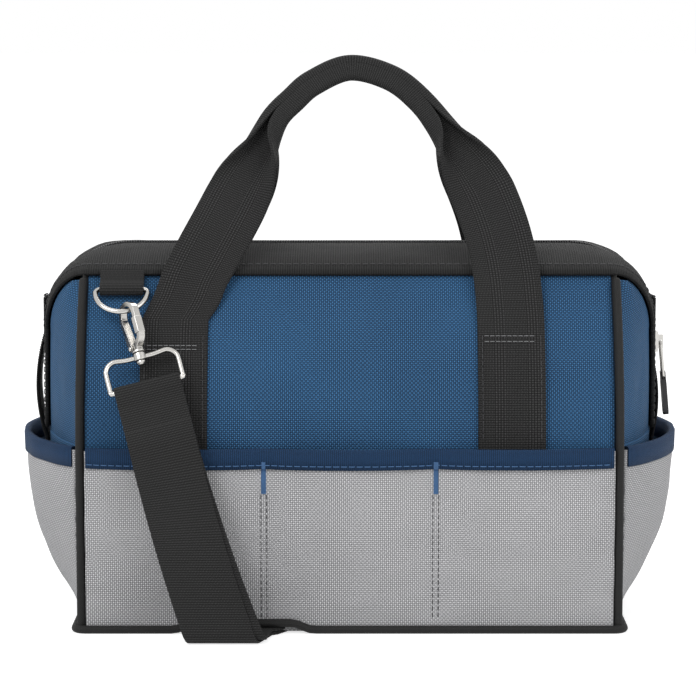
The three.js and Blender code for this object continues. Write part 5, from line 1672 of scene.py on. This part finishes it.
def hanging_pieces(side, turn):
    """The tab, ring, hook, lever and eye of one side."""
    hanging = f"{side}_ring_and_eye"
    at_tab = Matrix.Translation(ring_pivot()) @ rotation(-math.degrees(wall_slope(RING_HEIGHT)))
    parts = (
        ("ring_tab_webbing", [ring_tab()], at_tab, black_webbing, "ring_tab", f"{side}_flap"),
        ("d_ring_wire", [d_ring()], RING_FRAME, nickel, "d_ring", hanging),
        ("eye", eye_pieces(), HANG_FRAME, nickel, "hook_eye", hanging),
        ("strap_end", [strap_loop()], HANG_FRAME, black_webbing, "strap_loop", hanging),
        ("snap_hook_body", hook_pieces(), HOOK_FRAME, nickel, "hook", f"{side}_snap_hook"),
        ("hook_gate_lever", gate_pieces(), HOOK_FRAME, nickel, "hook_gate", f"{side}_gate"),
    )
    for label, pieces, place, finish, node, body in parts:
        slot = "nickel" if finish is nickel else "webbing_black"
        piece = moved(joined(f"{side}_{label}", pieces), turn @ place)
        dressed(piece, finish, slot, body, f"{side}_{node}")


for side, y in SIDES:
    half_turn = Matrix.Identity(4) if y > 0 else Matrix.Rotation(math.pi, 4, "Z")
    hanging_pieces(side, half_turn)
    strap_pieces(side, half_turn)

# Solids of the model that stay, with the material of each
STAYING = {"base_board": board_plastic, "front_frame_rod": rod_steel, "rear_frame_rod": rod_steel,
           "zip_slider": nickel, "zip_pull_link": nickel, "zip_pull_tag": rubber, "strap_adjuster": nickel}
for name, finish in STAYING.items():
    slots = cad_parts[name].data.materials
    slots.clear()
    slots.append(finish)


# Stitching


def on_wall(points, lift):
    """Places on the front wall from (x, z) pairs, at a height off it."""
    normals = [front_normal(x, z) for x, z in points]
    return [(front_point(x, z) + normal * lift, normal) for (x, z), normal in zip(points, normals)]


def on_pocket(points, lift):
    """Places on the front pocket from (x, z) pairs, over its tape near the rim."""
    places = []
    for x, z in points:
        normal = front_normal(x, z)
        over = CLEARANCE + BINDING_THICKNESS if z > POCKET_RIM - BINDING_HEIGHT - 0.5 else 0.0
        places.append((pocket_point(x, z) + normal * (lift + over), normal))
    return places


def rim_seam():
    """The row of stitches along the lower edge of the pocket's tape."""
    drop = Vector((0, -CLEARANCE - BINDING_THICKNESS - 0.25, -BINDING_HEIGHT + 2.2))
    return [(point + drop, Vector((0, -1, 0))) for point in front_rim()[1:-1]]


def hem_seam():
    """The row of stitches along the hem band, by its seam edge."""
    places = []
    for place in band_stations(BAND_FOOT + 3):
        face = (place["out"] + Vector((0, -0.8, 0))).normalized()
        places.append((band_point(place, HEM_SEAM_SHARE) + face * HEM_SEAM_RISE, face))
    return places


def make_stitches():
    """All the rows of stitches: first as at the front, then turned to their side."""
    divider = DIVIDER_SPACING / 2
    tack_top = POCKET_RIM - TACK_DROP
    tack_foot = tack_top - TACK_LENGTH
    strip = CLEARANCE + WEBBING_THICKNESS + STITCH_RISE
    edge = WEBBING_WIDTH / 2 - EDGE_INSET

    def sew(name, places, thread, slot, body, sizes=()):
        points = mirrored([p for p, f in places], 1, y)
        faces = mirrored([f for p, f in places], 1, y)
        row = stitches(f"{side}_{name}", list(zip(points, faces)), thread, *sizes)
        dressed(row, None, slot, body)

    for side, y in SIDES:
        flap = f"{side}_flap"
        sew("rim_stitches", rim_seam(), blue_thread, "binding_navy", "bag_body")
        sew("hem_stitches", hem_seam(), black_thread, "webbing_black", flap)
        for end, x in ENDS:
            line = [(x * divider, z) for z in spaced(tack_foot, tack_top, 20)]
            sew(f"{end}_bar_tack", on_pocket(line, STITCH_RISE), blue_thread, "binding_navy",
                "bag_body", TACK)
            for k in (-1, 1):
                seam = x * divider + DIVIDER_SEAM_OFFSET * k
                line = [(seam, z) for z in spaced(FOOT_TOP + 2, tack_foot, 40)]
                sew(f"{end}_divider_seam_{k + 1}", on_pocket(line, 0.1), black_thread, "fabric_grey",
                    "bag_body", DIVIDER_STITCH)
        for label, middle, levels in STRIP_SEAMS:
            for k, z in enumerate(levels):
                line = [(x, z) for x in spaced(middle - STRIP_ROW_HALF, middle + STRIP_ROW_HALF, 10)]
                sew(f"{label}_strip_stitches_{k}", on_wall(line, strip), pale_thread, "webbing_black",
                    flap, STRIP_STITCH)
            for k in (-1, 1):
                line = [(middle + k * edge, z) for z in spaced(POCKET_HEIGHT + 6, HANDLE_SEAM - 8, 30)]
                sew(f"{label}_strip_edge_{k + 1}", on_wall(line, strip), black_thread, "webbing_black",
                    flap, EDGE_STITCH)


make_stitches()


# Studio


def white_where_seen(w):
    """1 for what the camera, a mirror or a glass sees directly, and 0 for light on the object."""
    seen = w.add("ShaderNodeLightPath").outputs
    in_mirror = w.math("MAXIMUM", seen["Is Glossy Ray"], seen["Is Transmission Ray"])
    return w.math("MAXIMUM", seen["Is Camera Ray"], in_mirror)


def aimed(name, data, place, aim):
    """A light or camera at a place, turned to its aim."""
    obj = placed(name, data)
    obj.location = place
    obj.rotation_euler = (Vector(aim) - Vector(place)).to_track_quat("-Z", "Y").to_euler()
    return obj


def studio():
    """A white floor and world, soft light and no other things."""
    scene = bpy.context.scene
    scene.view_settings.view_transform = "Standard"
    mesh = bpy.data.meshes.new("floor")
    size = FLOOR_HALF
    mesh.from_pydata([(-size, -size, 0), (size, -size, 0), (size, size, 0), (-size, size, 0)], [],
                     [(0, 1, 2, 3)])
    placed("floor", mesh)
    material, w, shader = new_material("white floor")
    w.feed(shader, {
        "Base Color": (0.7, 0.7, 0.7, 1), "Roughness": 1.0, "Specular IOR Level": 0.0,
        "Emission Color": (1, 1, 1, 1), "Emission Strength": w.math("MULTIPLY", white_where_seen(w), 0.7),
    })
    mesh.materials.append(material)

    scene.world = bpy.data.worlds.new("studio light")
    scene.world.use_nodes = True
    w = Wires(scene.world.node_tree)
    strength = w.map_range(white_where_seen(w), 0.0, 1.0, 0.5, 1.0)
    w.feed(w.tree.nodes["Background"].inputs, {"Color": (1, 1, 1, 1), "Strength": strength})

    for name, place, height, power, width in LIGHTS:
        light = bpy.data.lights.new(name, "AREA")
        light.energy = power
        light.size = width
        aimed(name, light, place, (0, 0, height))


def camera():
    """The photograph's view: from the front, a little above, at the bag's scale in the picture."""
    elevation = math.radians(CAMERA_ELEVATION)
    data = bpy.data.cameras.new("camera")
    data.lens = data.sensor_width * CAMERA_DISTANCE / (PICTURE_WIDTH * MM)
    away = Vector((0, -math.cos(elevation), math.sin(elevation))) * CAMERA_DISTANCE
    bpy.context.scene.camera = aimed("camera", data, Vector(CAMERA_AIM) + away, CAMERA_AIM)


camera()
studio()
